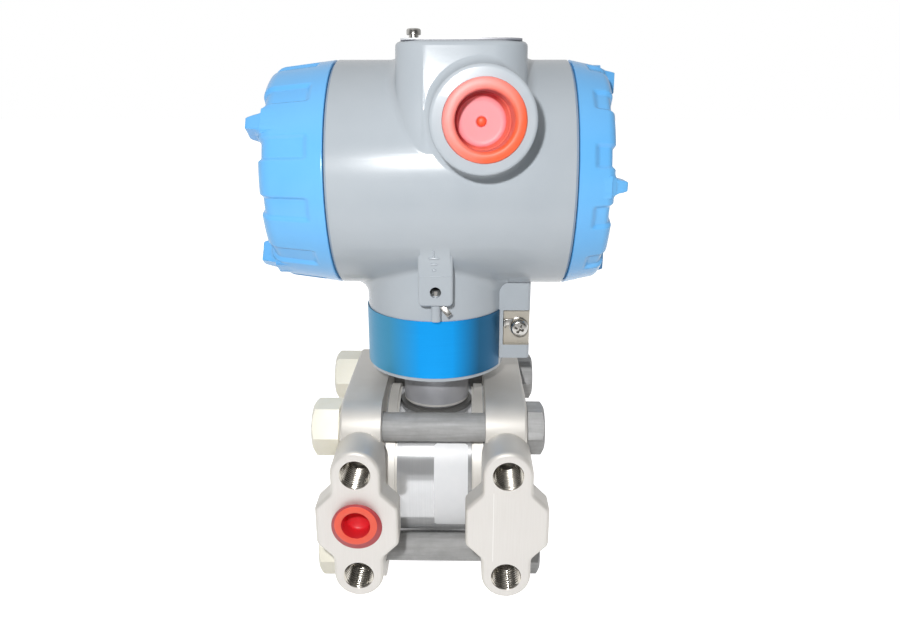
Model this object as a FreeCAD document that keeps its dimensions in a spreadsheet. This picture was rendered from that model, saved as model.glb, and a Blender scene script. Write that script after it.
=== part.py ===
import FreeCAD, Part
import math
import os
import re

import Sketcher
from FreeCAD import Placement, Rotation, Vector

# Pressure transmitter, millimetres. +X to the right, -Y out of the mounting face, +Z up.
# The origin is the centre of the four tapped manifold holes in the heads' front faces.
# Lengths named for a height are measured up from the sensor axis, depths from it along Y.
SIZES = {
    # Process and reference heads
    "face_depth": 53.5,
    "port_pitch": 54,
    "hole_pitch": 41.3,
    "tapped_hole": 11.1,
    "tapped_depth": 15,
    "mouth_chamfer": 0.7,
    "ear_radius": 9,
    "flange_width": 30,
    "flange_side": 15,
    "flange_thick": 9,
    "flange_taper": 38,
    "block_sink": 1.5,
    "cast_edge": 1.6,
    "cast_corner": 3,
    "plate_thick": 15.4,
    "bolt_pitch": 53,
    "corner_radius": 11.5,
    "plate_edge": 1.2,
    "port_hole": 13.6,
    "port_depth": 16,
    "passage": 5,
    "cross_passage": 4,
    "chamber_radius": 19,
    "chamber_depth": 1.5,
    "vent_hole": 10,
    "vent_depth": 14,
    "vent_clear": 1,
    "vent_flats": 14.3,
    "vent_head": 7,
    # Sensor body and header tube
    "sensor_width": 38.8,
    "sensor_radius": 31,
    "weld_offset": 14.9,
    "weld_width": 0.9,
    "weld_depth": 1.4,
    "sensor_flat": 26,
    "gasket_radius": 24,
    "gasket_band": 4,
    "gasket_thick": 1.2,
    "seat_clear": 0.1,
    "diaphragm_radius": 18,
    "diaphragm_thick": 0.3,
    "diaphragm_sink": 0.6,
    "collar_radius": 14.5,
    "collar_height": 1.6,
    "stub_radius": 13.15,
    "stub_chamfer": 1.1,
    "stub_top": 66,
    "stub_bore": 8,
    "stub_floor": 5,
    "neck_clear": 0.08,
    "seal_height": 52,
    "seal_width": 2.6,
    "seal_depth": 1.9,
    # Body bolts and nuts
    "bolt_size": 11.1,
    "bolt_clear": 0.4,
    "bolt_inset": 0.8,
    "bolt_flats": 17.46,
    "bolt_head": 6.7,
    "nut_flats": 19.05,
    "nut_thick": 10.7,
    "nut_clear": 0.05,
    # Housing casting
    "axis_height": 119.3,
    "body_radius": 40.9,
    "body_left": 35.1,
    "body_right": 48.1,
    "end_bevel": 0.8,
    "barrel_wall": 5.9,
    "partition_left": 1,
    "partition_right": 5,
    "neck_radius": 26.7,
    "neck_bottom": 45.2,
    "neck_blend": 5,
    "hub_left": 12,
    "hub_right": 31.5,
    "hub_inset": 1.4,
    "hub_stand": 4.8,
    "hub_corner": 11,
    "hub_edge": 1.6,
    "hub_blend": 4,
    "conduit_offset": 16.5,
    "conduit_rise": 22,
    "conduit_radius": 16.4,
    "conduit_stand": 15.3,
    "conduit_bore": 10.5,
    "conduit_edge": 1.2,
    "conduit_blend": 3,
    "cable_radius": 4.5,
    "cable_gap": 1.5,
    # Ground lug and its clamp screw
    "lug_offset": 1,
    "lug_width": 12.3,
    "lug_front": 33,
    "lug_hang": 2,
    "lug_corner": 1.8,
    "lug_edge": 1,
    "lug_blend": 18,
    "lug_hole": 4,
    "lug_hole_lift": 5.2,
    "lug_hole_depth": 9,
    "clamp_size": 3.4,
    "clamp_inset": 3,
    "clamp_drop": 6.2,
    "clamp_grip": 5.2,
    "tab_width": 3.4,
    "tab_drop": 4.6,
    "tab_thick": 1.2,
    # Ground block and its screw
    "block_reach": 36.8,
    "block_half": 10,
    "block_lift": 3.6,
    "block_corner": 1.5,
    "notch_inner": 26.4,
    "notch_lift": 5.4,
    "notch_tall": 14.1,
    "notch_depth": 2.6,
    "ground_offset": 32.6,
    "ground_size": 4,
    "ground_grip": 7,
    "washer_tall": 6.4,
    "washer_left": 5.6,
    "washer_right": 3.8,
    "washer_thick": 1.4,
    "ground_head": 6.8,
    "ground_head_tall": 2.8,
    # Name band and top plate
    "band_bottom": 46.6,
    "band_room": 9.5,
    "band_thick": 0.35,
    "band_gap": 0.1,
    "band_back": 3,
    "band_block_gap": 0.8,
    "plate_inset": 2,
    "plate_sheet": 0.8,
    "plate_corner": 6,
    "top_screw_inset": 5.6,
    "top_screw_front": 22,
    "top_screw_size": 2.8,
    "top_screw_grip": 7,
    "top_screw_head": 5.3,
    "top_screw_tall": 2.9,
    "top_washer": 6.6,
    "top_washer_thick": 0.7,
    # Push-in plugs
    "plug_slack": 0.1,
    "plug_wall": 1.2,
    "plug_flange": 25.7,
    "plug_lip": 1,
    "plug_depth": 12,
    "plug_rim": 0.3,
    "plug_draft": 1.3,
    "plug_nub": 1.1,
    "plug_nub_tall": 1.6,
    "port_plug_flange": 17.6,
    "port_plug_lip": 2.6,
    "port_plug_rim": 1.1,
    "port_plug_depth": 10,
    "port_plug_wall": 1.55,
    # Wiring and electronics inside the housing
    "insert_slack": 1,
    "terminal_thick": 14,
    "terminal_top": 9,
    "barrier_pitch": 13,
    "barrier_width": 2,
    "barrier_tall": 4,
    "barrier_low": 16,
    "terminal_head": 6.4,
    "terminal_head_tall": 2.4,
    "module_thick": 22,
    "module_screw_spread": 42,
    "module_screw": 6,
    "module_screw_tall": 2.2,
    # Screw-on caps and their seals
    "cap_gap": 0.4,
    "skirt_length": 10,
    "skirt_wall": 4,
    "skirt_clear": 0.1,
    "cap_wall": 4.5,
    "left_length": 23.2,
    "left_taper": 3,
    "left_round": 5.6,
    "left_clock": -34,
    "left_lug_tall": 4.2,
    "left_lug_width": 7.4,
    "right_length": 12.9,
    "right_taper": 2.6,
    "right_round": 3.6,
    "right_clock": 0,
    "right_lug_tall": 4.2,
    "right_lug_width": 5.4,
    "grip_count": 12,
    "grip_slot": 11,
    "grip_depth": 1.5,
    "grip_start": 5.4,
    "grip_run": 12.3,
    "grip_bevel": 4,
    "wrench_lugs": 4,
    "wrench_long": 9.5,
    "wrench_margin": 0.8,
    "wrench_taper": 9,
    "ring_groove": 2,
    "ring_inset": 1,
    "ring_width": 2.2,
    "ring_slack": 0.3,
}

# Places and sizes that follow from the ones above
DERIVED = {
    "thread_radius": "body_radius - barrel_wall",
    "ring_inner": "thread_radius + ring_inset",
    "left_end_radius": "body_radius - left_taper",
    "right_end_radius": "body_radius - right_taper",
    "hub_depth": "body_radius - hub_inset",
    "hub_top": "axis_height + body_radius + hub_stand",
    "conduit_height": "axis_height + conduit_rise",
    "conduit_reach": "body_radius + conduit_stand",
    "lug_bottom": "axis_height - body_radius - lug_hang",
    "lug_top": "axis_height - body_radius/3",
    "lug_hole_height": "lug_bottom + lug_hole_lift",
    "lug_rise": "sqrt((body_radius + lug_blend)^2 - (lug_front + lug_blend)^2)",
    "lug_sweep": "acos((lug_front + lug_blend)/(body_radius + lug_blend))",
    "band_tall": "axis_height - body_radius - band_room - band_bottom",
    "block_bottom": "neck_bottom + block_lift",
    "block_top": "axis_height - body_radius/2",
    "notch_bottom": "block_bottom + notch_lift",
    "ground_height": "notch_bottom + notch_tall/2",
}

doc = FreeCAD.newDocument("pressure_transmitter")
sheet = doc.addObject("Spreadsheet::Sheet", "Dims")
for row, (alias, size) in enumerate(SIZES.items(), start=1):
    sheet.set(f"A{row}", alias.replace("_", " "))
    sheet.set(f"B{row}", str(size))
    sheet.setAlias(f"B{row}", alias)
doc.recompute()


def linked(text):
    """Turn the size names in an expression into references to the sheet."""
    def reference(word):
        if word[0] in DERIVED:
            return f"({linked(DERIVED[word[0]])})"
        return "Dims." + word[0] if word[0] in SIZES else word[0]
    return re.sub(r"[a-z]\w*", reference, text)


def number(text):
    return float(sheet.evalExpression(linked(text)))


def new_body(label, across="0", up="0"):
    """A body placed from the mounting face; its own origin is a point of the sensor axis plane."""
    body = doc.addObject("PartDesign::Body", label)
    body.Label = label
    for axis, text in (("x", across), ("y", "face_depth"), ("z", up)):
        body.setExpression(f"Placement.Base.{axis}", linked(text))
    return body


def sketch(body, plane_role, offset="0"):
    plane = next(feature for feature in body.Origin.OriginFeatures if feature.Role == plane_role)
    drawing = body.newObject("Sketcher::SketchObject", body.Label + "_sketch")
    drawing.AttachmentSupport = [(plane, "")]
    drawing.MapMode = "FlatFace"
    drawing.setExpression("AttachmentOffset.Base.z", linked(offset))
    return drawing


def pin(drawing, piece, spot, across, along):
    """Hold one point of a sketch at a place given by two expressions."""
    for kind, axis, text in (("DistanceX", -2, across), ("DistanceY", -1, along)):
        if text == "0":
            drawing.addConstraint(Sketcher.Constraint("PointOnObject", piece, spot, axis))
        else:
            held = drawing.addConstraint(Sketcher.Constraint(kind, -1, 1, piece, spot, number(text)))
            drawing.setExpression(f"Constraints[{held}]", linked(text))


def polygon(drawing, corners):
    first = drawing.GeometryCount
    spots = [Vector(number(across), number(along), 0) for across, along in corners]
    for index, spot in enumerate(spots):
        drawing.addGeometry(Part.LineSegment(spot, spots[(index + 1) % len(spots)]), False)
    for index, (across, along) in enumerate(corners):
        after = first + (index + 1) % len(corners)
        drawing.addConstraint(Sketcher.Constraint("Coincident", first + index, 2, after, 1))
        pin(drawing, first + index, 1, across, along)


def rectangle(drawing, left, right, low, high):
    polygon(drawing, [(left, low), (right, low), (right, high), (left, high)])


def hexagon(drawing, across, along, flats):
    corner, half = f"({flats})/sqrt(3)", f"({flats})/2"
    polygon(drawing, [
        (f"{across} + {corner}", along), (f"{across} + {corner}/2", f"{along} + {half}"),
        (f"{across} - {corner}/2", f"{along} + {half}"), (f"{across} - {corner}", along),
        (f"{across} - {corner}/2", f"{along} - {half}"), (f"{across} + {corner}/2", f"{along} - {half}")])


def circle(drawing, across, along, radius):
    centre = Vector(number(across), number(along), 0)
    piece = drawing.addGeometry(Part.Circle(centre, Vector(0, 0, 1), number(radius)), False)
    pin(drawing, piece, 3, across, along)
    held = drawing.addConstraint(Sketcher.Constraint("Radius", piece, number(radius)))
    drawing.setExpression(f"Constraints[{held}]", linked(radius))


def extrude(body, drawing, length, kind="Pad", backwards=False, both_ways=False, taper=None):
    feature = body.newObject("PartDesign::" + kind, f"{body.Label}_{kind.lower()}")
    feature.Profile = drawing
    feature.Reversed = backwards
    feature.Midplane = both_ways
    feature.setExpression("Length", linked(length))
    if taper:
        feature.setExpression("TaperAngle", linked(taper))
    return feature


def revolve(body, drawing, axis, kind="Revolution", angle=None):
    feature = body.newObject("PartDesign::" + kind, f"{body.Label}_{kind.lower()}")
    feature.Profile = drawing
    feature.ReferenceAxis = (drawing, [axis])
    if angle:
        feature.Midplane = True
        feature.setExpression("Angle", linked(angle))
    return feature


def around_x(body, feature, count):
    """Repeat a feature round the body's own X axis."""
    axis = next(item for item in body.Origin.OriginFeatures if item.Role == "X_Axis")
    pattern = body.newObject("PartDesign::PolarPattern", body.Label + "_pattern")
    pattern.Originals = [feature]
    pattern.Axis = (axis, [""])
    pattern.Angle = 360
    pattern.setExpression("Occurrences", linked(count))
    body.Tip = pattern


def soften(body, size, choose, kind="Fillet"):
    """Round or bevel the edges of the body's latest shape that a test picks out."""
    doc.recompute()
    base = body.Tip
    names = [f"Edge{index}" for index, edge in enumerate(base.Shape.Edges, start=1) if choose(edge)]
    feature = body.newObject("PartDesign::" + kind, f"{body.Label}_{kind.lower()}")
    feature.Base = (base, names)
    feature.setExpression("Radius" if kind == "Fillet" else "Size", linked(size))


def flat_on(axis, text):
    """A test for edges that lie in the plane where one coordinate has the given value."""
    level = number(text)

    def lies(edge):
        box = edge.BoundBox
        low, high = getattr(box, axis + "Min"), getattr(box, axis + "Max")
        return abs(low - level) < 1e-4 and abs(high - level) < 1e-4
    return lies


def keeps_from(text, distance):
    """A test for edges whose points all keep one distance, as measured by the function, from an axis."""
    reach = number(text)

    def keeps(edge):
        start, end = edge.ParameterRange
        spots = [edge.valueAt(start + (end - start) * part / 6) for part in range(7)]
        return all(abs(distance(spot) - reach) < 1e-3 for spot in spots)
    return keeps


def straight_along(direction):
    def runs(edge):
        if edge.Curve.TypeId != "Part::GeomLine":
            return False
        return abs(abs(edge.Curve.Direction.dot(direction)) - 1) < 1e-6
    return runs


FOUR_BOLTS = [(f"{y}*bolt_pitch/2", f"{z}*bolt_pitch/2") for y in (-1, 1) for z in (-1, 1)]


# Process head and reference head: investment-cast plates with a flanged, eared mounting face
def head(label, side, has_port):
    body = new_body(label)
    outward = side < 0
    centre = f"{side}*port_pitch/2"
    inner_face = f"{side}*sensor_width/2"
    half = "(bolt_pitch/2 + corner_radius)"
    plate = sketch(body, "YZ_Plane", inner_face)
    rectangle(plate, f"-{half}", half, f"-{half}", half)
    extrude(body, plate, "plate_thick", backwards=outward)
    soften(body, "corner_radius", straight_along(Vector(1, 0, 0)))
    soften(body, "plate_edge", flat_on("X", f"{side}*(sensor_width/2 + plate_thick)"))

    wide, tall = "flange_width/2", "flange_side/2"
    neck, shoulder = "ear_radius", "(flange_side/2 + flange_width/2 - ear_radius)"
    octagon = [(wide, tall), (neck, shoulder), (f"-{neck}", shoulder), (f"-{wide}", tall),
               (f"-{wide}", f"-{tall}"), (f"-{neck}", f"-{shoulder}"), (neck, f"-{shoulder}"), (wide, f"-{tall}")]
    octagon = [(f"{centre} + {across}", along) for across, along in octagon]
    flange = sketch(body, "XZ_Plane", "face_depth")
    polygon(flange, octagon)
    extrude(body, flange, "flange_thick", backwards=True)
    throat = sketch(body, "XZ_Plane", "face_depth - flange_thick")
    polygon(throat, octagon)
    extrude(body, throat, f"face_depth - flange_thick - {half} + block_sink", backwards=True, taper="-flange_taper")
    ear_length = f"face_depth - {half} + block_sink"
    web = sketch(body, "XZ_Plane", "face_depth")
    rectangle(web, f"{centre} - ear_radius", f"{centre} + ear_radius", "-hole_pitch/2", "hole_pitch/2")
    extrude(body, web, ear_length, backwards=True)
    ears = sketch(body, "XZ_Plane", "face_depth")
    for end in (-1, 1):
        circle(ears, centre, f"{end}*hole_pitch/2", "ear_radius")
    extrude(body, ears, ear_length, backwards=True)

    front = number("-face_depth")
    corner_lines = straight_along(Vector(0, 1, 0))
    ear_edge = number("hole_pitch/2")

    def flange_corner(edge):
        spot = edge.Vertexes[0].Point
        reaches_face = min(vertex.Y for vertex in edge.Vertexes) < front + 1e-4
        return corner_lines(edge) and reaches_face and abs(spot.z) < ear_edge - 1e-3
    soften(body, "cast_corner", flange_corner)
    soften(body, "cast_edge", flat_on("Y", "-face_depth"))

    tapped = sketch(body, "XZ_Plane", "face_depth")
    for end in (-1, 1):
        circle(tapped, centre, f"{end}*hole_pitch/2", "tapped_hole/2")
    extrude(body, tapped, "tapped_depth", "Pocket")
    if has_port:
        port = sketch(body, "XZ_Plane", "face_depth")
        circle(port, centre, "0", "port_hole/2")
        extrude(body, port, "port_depth", "Pocket")
        rim = number("port_hole/2")
        soften(body, "mouth_chamfer", lambda edge: flat_on("Y", "-face_depth")(edge)
               and edge.Curve.TypeId == "Part::GeomCircle" and abs(edge.Curve.Radius - rim) < 1e-4, kind="Chamfer")
        passage = sketch(body, "XZ_Plane", "face_depth")
        circle(passage, centre, "0", "passage/2")
        extrude(body, passage, "face_depth + passage/2", "Pocket")
    bolt_holes = sketch(body, "YZ_Plane", inner_face)
    for across, along in FOUR_BOLTS:
        circle(bolt_holes, across, along, "bolt_size/2 + bolt_clear")
    extrude(body, bolt_holes, "plate_thick", "Pocket", backwards=not outward)
    for radius, depth in (("gasket_radius + seat_clear", "gasket_thick"),
                          ("chamber_radius", "gasket_thick + chamber_depth"),
                          ("cross_passage/2", "port_pitch/2 - sensor_width/2")):
        recess = sketch(body, "YZ_Plane", inner_face)
        circle(recess, "0", "0", radius)
        extrude(body, recess, depth, "Pocket", backwards=not outward)
    vent = sketch(body, "XZ_Plane", f"-{half}")
    circle(vent, centre, "0", "vent_hole/2")
    extrude(body, vent, "vent_depth", "Pocket", backwards=True)


head("process_head", -1, has_port=True)
head("reference_head", 1, has_port=False)


# Sensor body: turned stainless disc with a weld groove behind each rim and a flat on top
sensor = new_body("sensor_body")
profile = sketch(sensor, "XY_Plane")
half_width, rim = "sensor_width/2", "sensor_radius"
groove_near, groove_far = "(weld_offset - weld_width/2)", "(weld_offset + weld_width/2)"
groove_floor = "sensor_radius - weld_depth"
polygon(profile, [
    (half_width, "0"), (half_width, rim), (groove_far, rim), (groove_far, groove_floor),
    (groove_near, groove_floor), (groove_near, rim), (f"-{groove_near}", rim), (f"-{groove_near}", groove_floor),
    (f"-{groove_far}", groove_floor), (f"-{groove_far}", rim), (f"-{half_width}", rim),
    (f"-{half_width}", "diaphragm_radius + seat_clear"),
    (f"-{half_width} + diaphragm_sink", "diaphragm_radius + seat_clear"), (f"-{half_width} + diaphragm_sink", "0")])
revolve(sensor, profile, "H_Axis")
flat = sketch(sensor, "XY_Plane", "sensor_flat")
rectangle(flat, f"-{groove_near}", groove_near, "-sensor_radius", "sensor_radius")
extrude(sensor, flat, "sensor_radius", "Pocket", backwards=True)

# Isolating diaphragm: thin disc welded over the process side of the sensor body
diaphragm = new_body("isolating_diaphragm")
disc = sketch(diaphragm, "YZ_Plane", "diaphragm_sink - sensor_width/2")
circle(disc, "0", "0", "diaphragm_radius")
extrude(diaphragm, disc, "diaphragm_thick", backwards=True)

# Header tube: steel stub welded to the flat, hollow for the sensor leads, grooved for the neck seal
header = new_body("header_tube")
profile = sketch(header, "XZ_Plane")
collar_top, seal_floor = "sensor_flat + collar_height", "stub_radius - seal_depth"
seal_low, seal_high = "seal_height - seal_width/2", "seal_height + seal_width/2"
polygon(profile, [
    ("0", "sensor_flat"), ("collar_radius", "sensor_flat"), ("collar_radius", collar_top),
    ("stub_radius - stub_chamfer", collar_top), ("stub_radius", f"{collar_top} + stub_chamfer"),
    ("stub_radius", seal_low), (seal_floor, seal_low), (seal_floor, seal_high), ("stub_radius", seal_high),
    ("stub_radius", "stub_top"), ("stub_bore", "stub_top"), ("stub_bore", "sensor_flat + stub_floor"),
    ("0", "sensor_flat + stub_floor")])
revolve(header, profile, "V_Axis")

# Neck seal: rubber ring in the header tube's groove
seal = new_body("neck_seal")
ring = sketch(seal, "XY_Plane", seal_low)
circle(ring, "0", "0", "stub_radius")
circle(ring, "0", "0", seal_floor)
extrude(seal, ring, "seal_width")

# Head gaskets: flat rings in a counterbore of each head, pressed on the sensor body's rims
for label, side in (("process_gasket", -1), ("reference_gasket", 1)):
    gasket = new_body(label)
    ring = sketch(gasket, "YZ_Plane", f"{side}*sensor_width/2")
    circle(ring, "0", "0", "gasket_radius")
    circle(ring, "0", "0", "gasket_radius - gasket_band")
    extrude(gasket, ring, "gasket_thick", backwards=side < 0)

# Body bolts: four hex bolts through both heads, heads on the right, nuts on the left
outer_face = "(sensor_width/2 + plate_thick)"
bolts = new_body("body_bolts")
shanks = sketch(bolts, "YZ_Plane", f"bolt_inset - {outer_face} - nut_thick")
heads = sketch(bolts, "YZ_Plane", outer_face)
nuts = new_body("body_nuts")
rings = sketch(nuts, "YZ_Plane", f"-{outer_face}")
for across, along in FOUR_BOLTS:
    circle(shanks, across, along, "bolt_size/2")
    hexagon(heads, across, along, "bolt_flats")
    hexagon(rings, across, along, "nut_flats")
    circle(rings, across, along, "bolt_size/2 + nut_clear")
extrude(bolts, shanks, f"2*{outer_face} + nut_thick - bolt_inset")
extrude(bolts, heads, "bolt_head")
extrude(nuts, rings, "nut_thick", backwards=True)

# Vent plugs: hex plugs screwed into the rear end of each head
vents = new_body("vent_plugs")
rear_face = "(bolt_pitch/2 + corner_radius)"
shanks = sketch(vents, "XZ_Plane", f"-{rear_face}")
heads = sketch(vents, "XZ_Plane", f"-{rear_face}")
for side in (-1, 1):
    circle(shanks, f"{side}*port_pitch/2", "0", "vent_hole/2 - seat_clear")
    hexagon(heads, f"{side}*port_pitch/2", "0", "vent_flats")
extrude(vents, shanks, "vent_depth - vent_clear")
extrude(vents, heads, "vent_head", backwards=True)


# Push-in plugs: thin moulded cups with a flange that seats on the mouth of the hole
def plug(label, across, up, mouth, facing, hole, flange, rim, lip, depth, wall, nub=None):
    body = new_body(label, across, up)
    drawing = sketch(body, "XY_Plane")
    outer, inner = f"{hole} - plug_slack", f"{hole} - plug_slack - {wall}"
    floor = f"{mouth} - {depth} + {wall}"
    corners = [("0", f"{mouth} - {depth}"), (outer, f"{mouth} - {depth}"), (outer, mouth), (flange, mouth),
               (f"{flange} - {rim}", f"{mouth} + {lip}"), (inner, f"{mouth} + {lip}"),
               (f"{inner} - plug_draft", floor)]
    if nub:
        corners += [(nub, floor), (nub, f"{floor} + plug_nub_tall"), ("0", f"{floor} + plug_nub_tall")]
    else:
        corners.append(("0", floor))
    polygon(drawing, [(radius, f"{facing}*({along})") for radius, along in corners])
    revolve(body, drawing, "V_Axis")


plug("process_plug", "-port_pitch/2", "0", "face_depth", -1, "port_hole/2",
     "port_plug_flange/2", "port_plug_rim", "port_plug_lip", "port_plug_depth", "port_plug_wall")
for label, facing in (("front_conduit_plug", -1), ("rear_conduit_plug", 1)):
    plug(label, "conduit_offset", "conduit_height", "conduit_reach", facing, "conduit_bore",
         "plug_flange/2", "plug_rim", "plug_lip", "plug_depth", "plug_wall", nub="plug_nub")


# Housing: one aluminium casting, a barrel with a hub on top, two conduit bosses, a neck and ground points
housing = new_body("housing")
barrel = sketch(housing, "YZ_Plane", "-body_left")
circle(barrel, "0", "axis_height", "body_radius")
extrude(housing, barrel, "body_left + body_right")
soften(housing, "end_bevel", lambda edge: edge.Curve.TypeId == "Part::GeomCircle", kind="Chamfer")
neck = sketch(housing, "XY_Plane", "neck_bottom")
circle(neck, "0", "0", "neck_radius")
extrude(housing, neck, "axis_height - neck_bottom")
lug = sketch(housing, "XZ_Plane", "lug_front")
rectangle(lug, "lug_offset - lug_width/2", "lug_offset + lug_width/2", "lug_bottom", "lug_top")
extrude(housing, lug, "lug_front - neck_radius/2", backwards=True)
soften(housing, "lug_corner", lambda edge: straight_along(Vector(0, 1, 0))(edge) and flat_on("Z", "lug_bottom")(edge))
upright = straight_along(Vector(0, 0, 1))
soften(housing, "lug_edge", lambda edge: upright(edge) and flat_on("Y", "-lug_front")(edge))
run_out = sketch(housing, "YZ_Plane", "lug_offset - lug_width/2 + lug_edge")
hollow = [(f"lug_blend*cos(lug_sweep*{part}) - lug_front - lug_blend",
           f"axis_height - lug_rise + lug_blend*sin(lug_sweep*{part})") for part in ("0", "0.25", "0.5", "0.75", "1")]
polygon(run_out, hollow + [("-lug_front/2", hollow[-1][1]), ("-lug_front/2", hollow[0][1])])
extrude(housing, run_out, "lug_width - 2*lug_edge")
block = sketch(housing, "XZ_Plane", "block_half")
rectangle(block, "neck_radius/2", "block_reach", "block_bottom", "block_top")
extrude(housing, block, "2*block_half", backwards=True)
soften(housing, "block_corner", lambda edge: upright(edge) and flat_on("X", "block_reach")(edge))
on_neck = keeps_from("neck_radius", lambda spot: math.hypot(spot.x, spot.y))
on_barrel = keeps_from("body_radius", lambda spot: math.hypot(spot.y, spot.z - number("axis_height")))
soften(housing, "neck_blend", lambda edge: on_barrel(edge) and on_neck(edge))

hub = sketch(housing, "XY_Plane", "axis_height")
rectangle(hub, "-hub_left", "hub_right", "-hub_depth", "hub_depth")
extrude(housing, hub, "hub_top - axis_height")
soften(housing, "hub_corner", lambda edge: upright(edge) and edge.BoundBox.ZMax > number("hub_top") - 1e-3)
soften(housing, "hub_blend", lambda edge: on_barrel(edge) and edge.BoundBox.ZMin > number("axis_height")
       and edge.BoundBox.XMin > number("-body_left/2 - hub_left/2")
       and edge.BoundBox.XMax < number("body_right/2 + hub_right/2"))
soften(housing, "hub_edge", flat_on("Z", "hub_top"))
bosses = sketch(housing, "XZ_Plane")
circle(bosses, "conduit_offset", "conduit_height", "conduit_radius")
extrude(housing, bosses, "2*conduit_reach", both_ways=True)
on_boss = keeps_from("conduit_radius", lambda spot: math.hypot(
    spot.x - number("conduit_offset"), spot.z - number("conduit_height")))
for facing in (-1, 1):
    soften(housing, "conduit_blend", lambda edge: on_boss(edge) and edge.CenterOfMass.y * facing > 0
           and edge.Curve.TypeId != "Part::GeomLine" and not flat_on("Y", f"{facing}*conduit_reach")(edge))
soften(housing, "conduit_edge", lambda edge: flat_on("Y", "-conduit_reach")(edge)
       or flat_on("Y", "conduit_reach")(edge))

compartments = sketch(housing, "YZ_Plane", "partition_right")
circle(compartments, "0", "axis_height", "thread_radius")
extrude(housing, compartments, "body_right", "Pocket", backwards=True)
compartments = sketch(housing, "YZ_Plane", "partition_left")
circle(compartments, "0", "axis_height", "thread_radius")
extrude(housing, compartments, "body_left + partition_left", "Pocket")
entries = sketch(housing, "XZ_Plane")
circle(entries, "conduit_offset", "conduit_height", "conduit_bore")
extrude(housing, entries, "2*conduit_reach", "Pocket", both_ways=True)
socket = sketch(housing, "XY_Plane", "neck_bottom")
circle(socket, "0", "0", "stub_radius + neck_clear")
extrude(housing, socket, "stub_top - neck_bottom + seat_clear", "Pocket", backwards=True)
wireway = sketch(housing, "XY_Plane", "stub_top")
circle(wireway, "partition_left - cable_radius - cable_gap", "0", "cable_radius")
extrude(housing, wireway, "axis_height - stub_top", "Pocket", backwards=True)
wire_hole = sketch(housing, "XZ_Plane", "lug_front")
circle(wire_hole, "lug_offset", "lug_hole_height", "lug_hole/2")
extrude(housing, wire_hole, "lug_hole_depth", "Pocket")
clamp_hole = sketch(housing, "XY_Plane", "lug_bottom")
circle(clamp_hole, "lug_offset", "clamp_inset - lug_front", "clamp_size/2 + seat_clear")
extrude(housing, clamp_hole, "clamp_grip + seat_clear", "Pocket", backwards=True)
notch = sketch(housing, "XZ_Plane", "block_half")
rectangle(notch, "notch_inner", "block_reach", "notch_bottom", "notch_bottom + notch_tall")
extrude(housing, notch, "notch_depth", "Pocket")
ground_hole = sketch(housing, "XZ_Plane", "block_half")
circle(ground_hole, "ground_offset", "ground_height", "ground_size/2 + seat_clear")
extrude(housing, ground_hole, "notch_depth + ground_grip + seat_clear", "Pocket")
plate_hole = sketch(housing, "XY_Plane", "hub_top")
circle(plate_hole, "top_screw_inset - hub_left", "-top_screw_front", "top_screw_size/2 + seat_clear")
extrude(housing, plate_hole, "top_screw_grip + seat_clear", "Pocket")

# Clamp screw: enters the ground lug from below and pinches the wire in its hole
clamp = new_body("clamp_screw")
shank = sketch(clamp, "XY_Plane", "lug_bottom - clamp_drop")
circle(shank, "lug_offset", "clamp_inset - lug_front", "clamp_size/2")
extrude(clamp, shank, "clamp_drop + clamp_grip")

# Lock tab: small bent strip beside the clamp screw, fixed under the lug
tab = new_body("lock_tab")
strip = sketch(tab, "XZ_Plane", "lug_front - clamp_inset + tab_thick/2")
tab_left = "(lug_offset + clamp_size/2 + seat_clear)"
rectangle(strip, tab_left, f"{tab_left} + tab_width", "lug_bottom - tab_drop", "lug_bottom")
extrude(tab, strip, "tab_thick", backwards=True)

# Ground screw: pan-head screw with a square clamp washer in the notch of the ground block
ground = new_body("ground_screw")
ground_seat = "block_half - notch_depth"
washer = sketch(ground, "XZ_Plane", ground_seat)
rectangle(washer, "ground_offset - washer_left", "ground_offset + washer_right",
          "ground_height - washer_tall/2", "ground_height + washer_tall/2")
extrude(ground, washer, "washer_thick")
pan = sketch(ground, "XZ_Plane", f"{ground_seat} + washer_thick")
circle(pan, "ground_offset", "ground_height", "ground_head/2")
extrude(ground, pan, "ground_head_tall")
shank = sketch(ground, "XZ_Plane", ground_seat)
circle(shank, "ground_offset", "ground_height", "ground_size/2")
extrude(ground, shank, "ground_grip", backwards=True)

# Name band: thin aluminium strip bent round the front of the neck, up to the ground block
band = new_body("name_band")
strip = sketch(band, "XY_Plane", "band_bottom")
circle(strip, "0", "0", "neck_radius + band_gap + band_thick")
circle(strip, "0", "0", "neck_radius + band_gap")
extrude(band, strip, "band_tall")
opening = sketch(band, "XY_Plane", "band_bottom")
past, block_side = "2*neck_radius", "-block_half - band_block_gap"
polygon(opening, [(f"-{past}", "band_back"), ("0", "band_back"), ("0", block_side), (past, block_side),
                  (past, past), (f"-{past}", past)])
extrude(band, opening, "band_tall", "Pocket", backwards=True)

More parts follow.
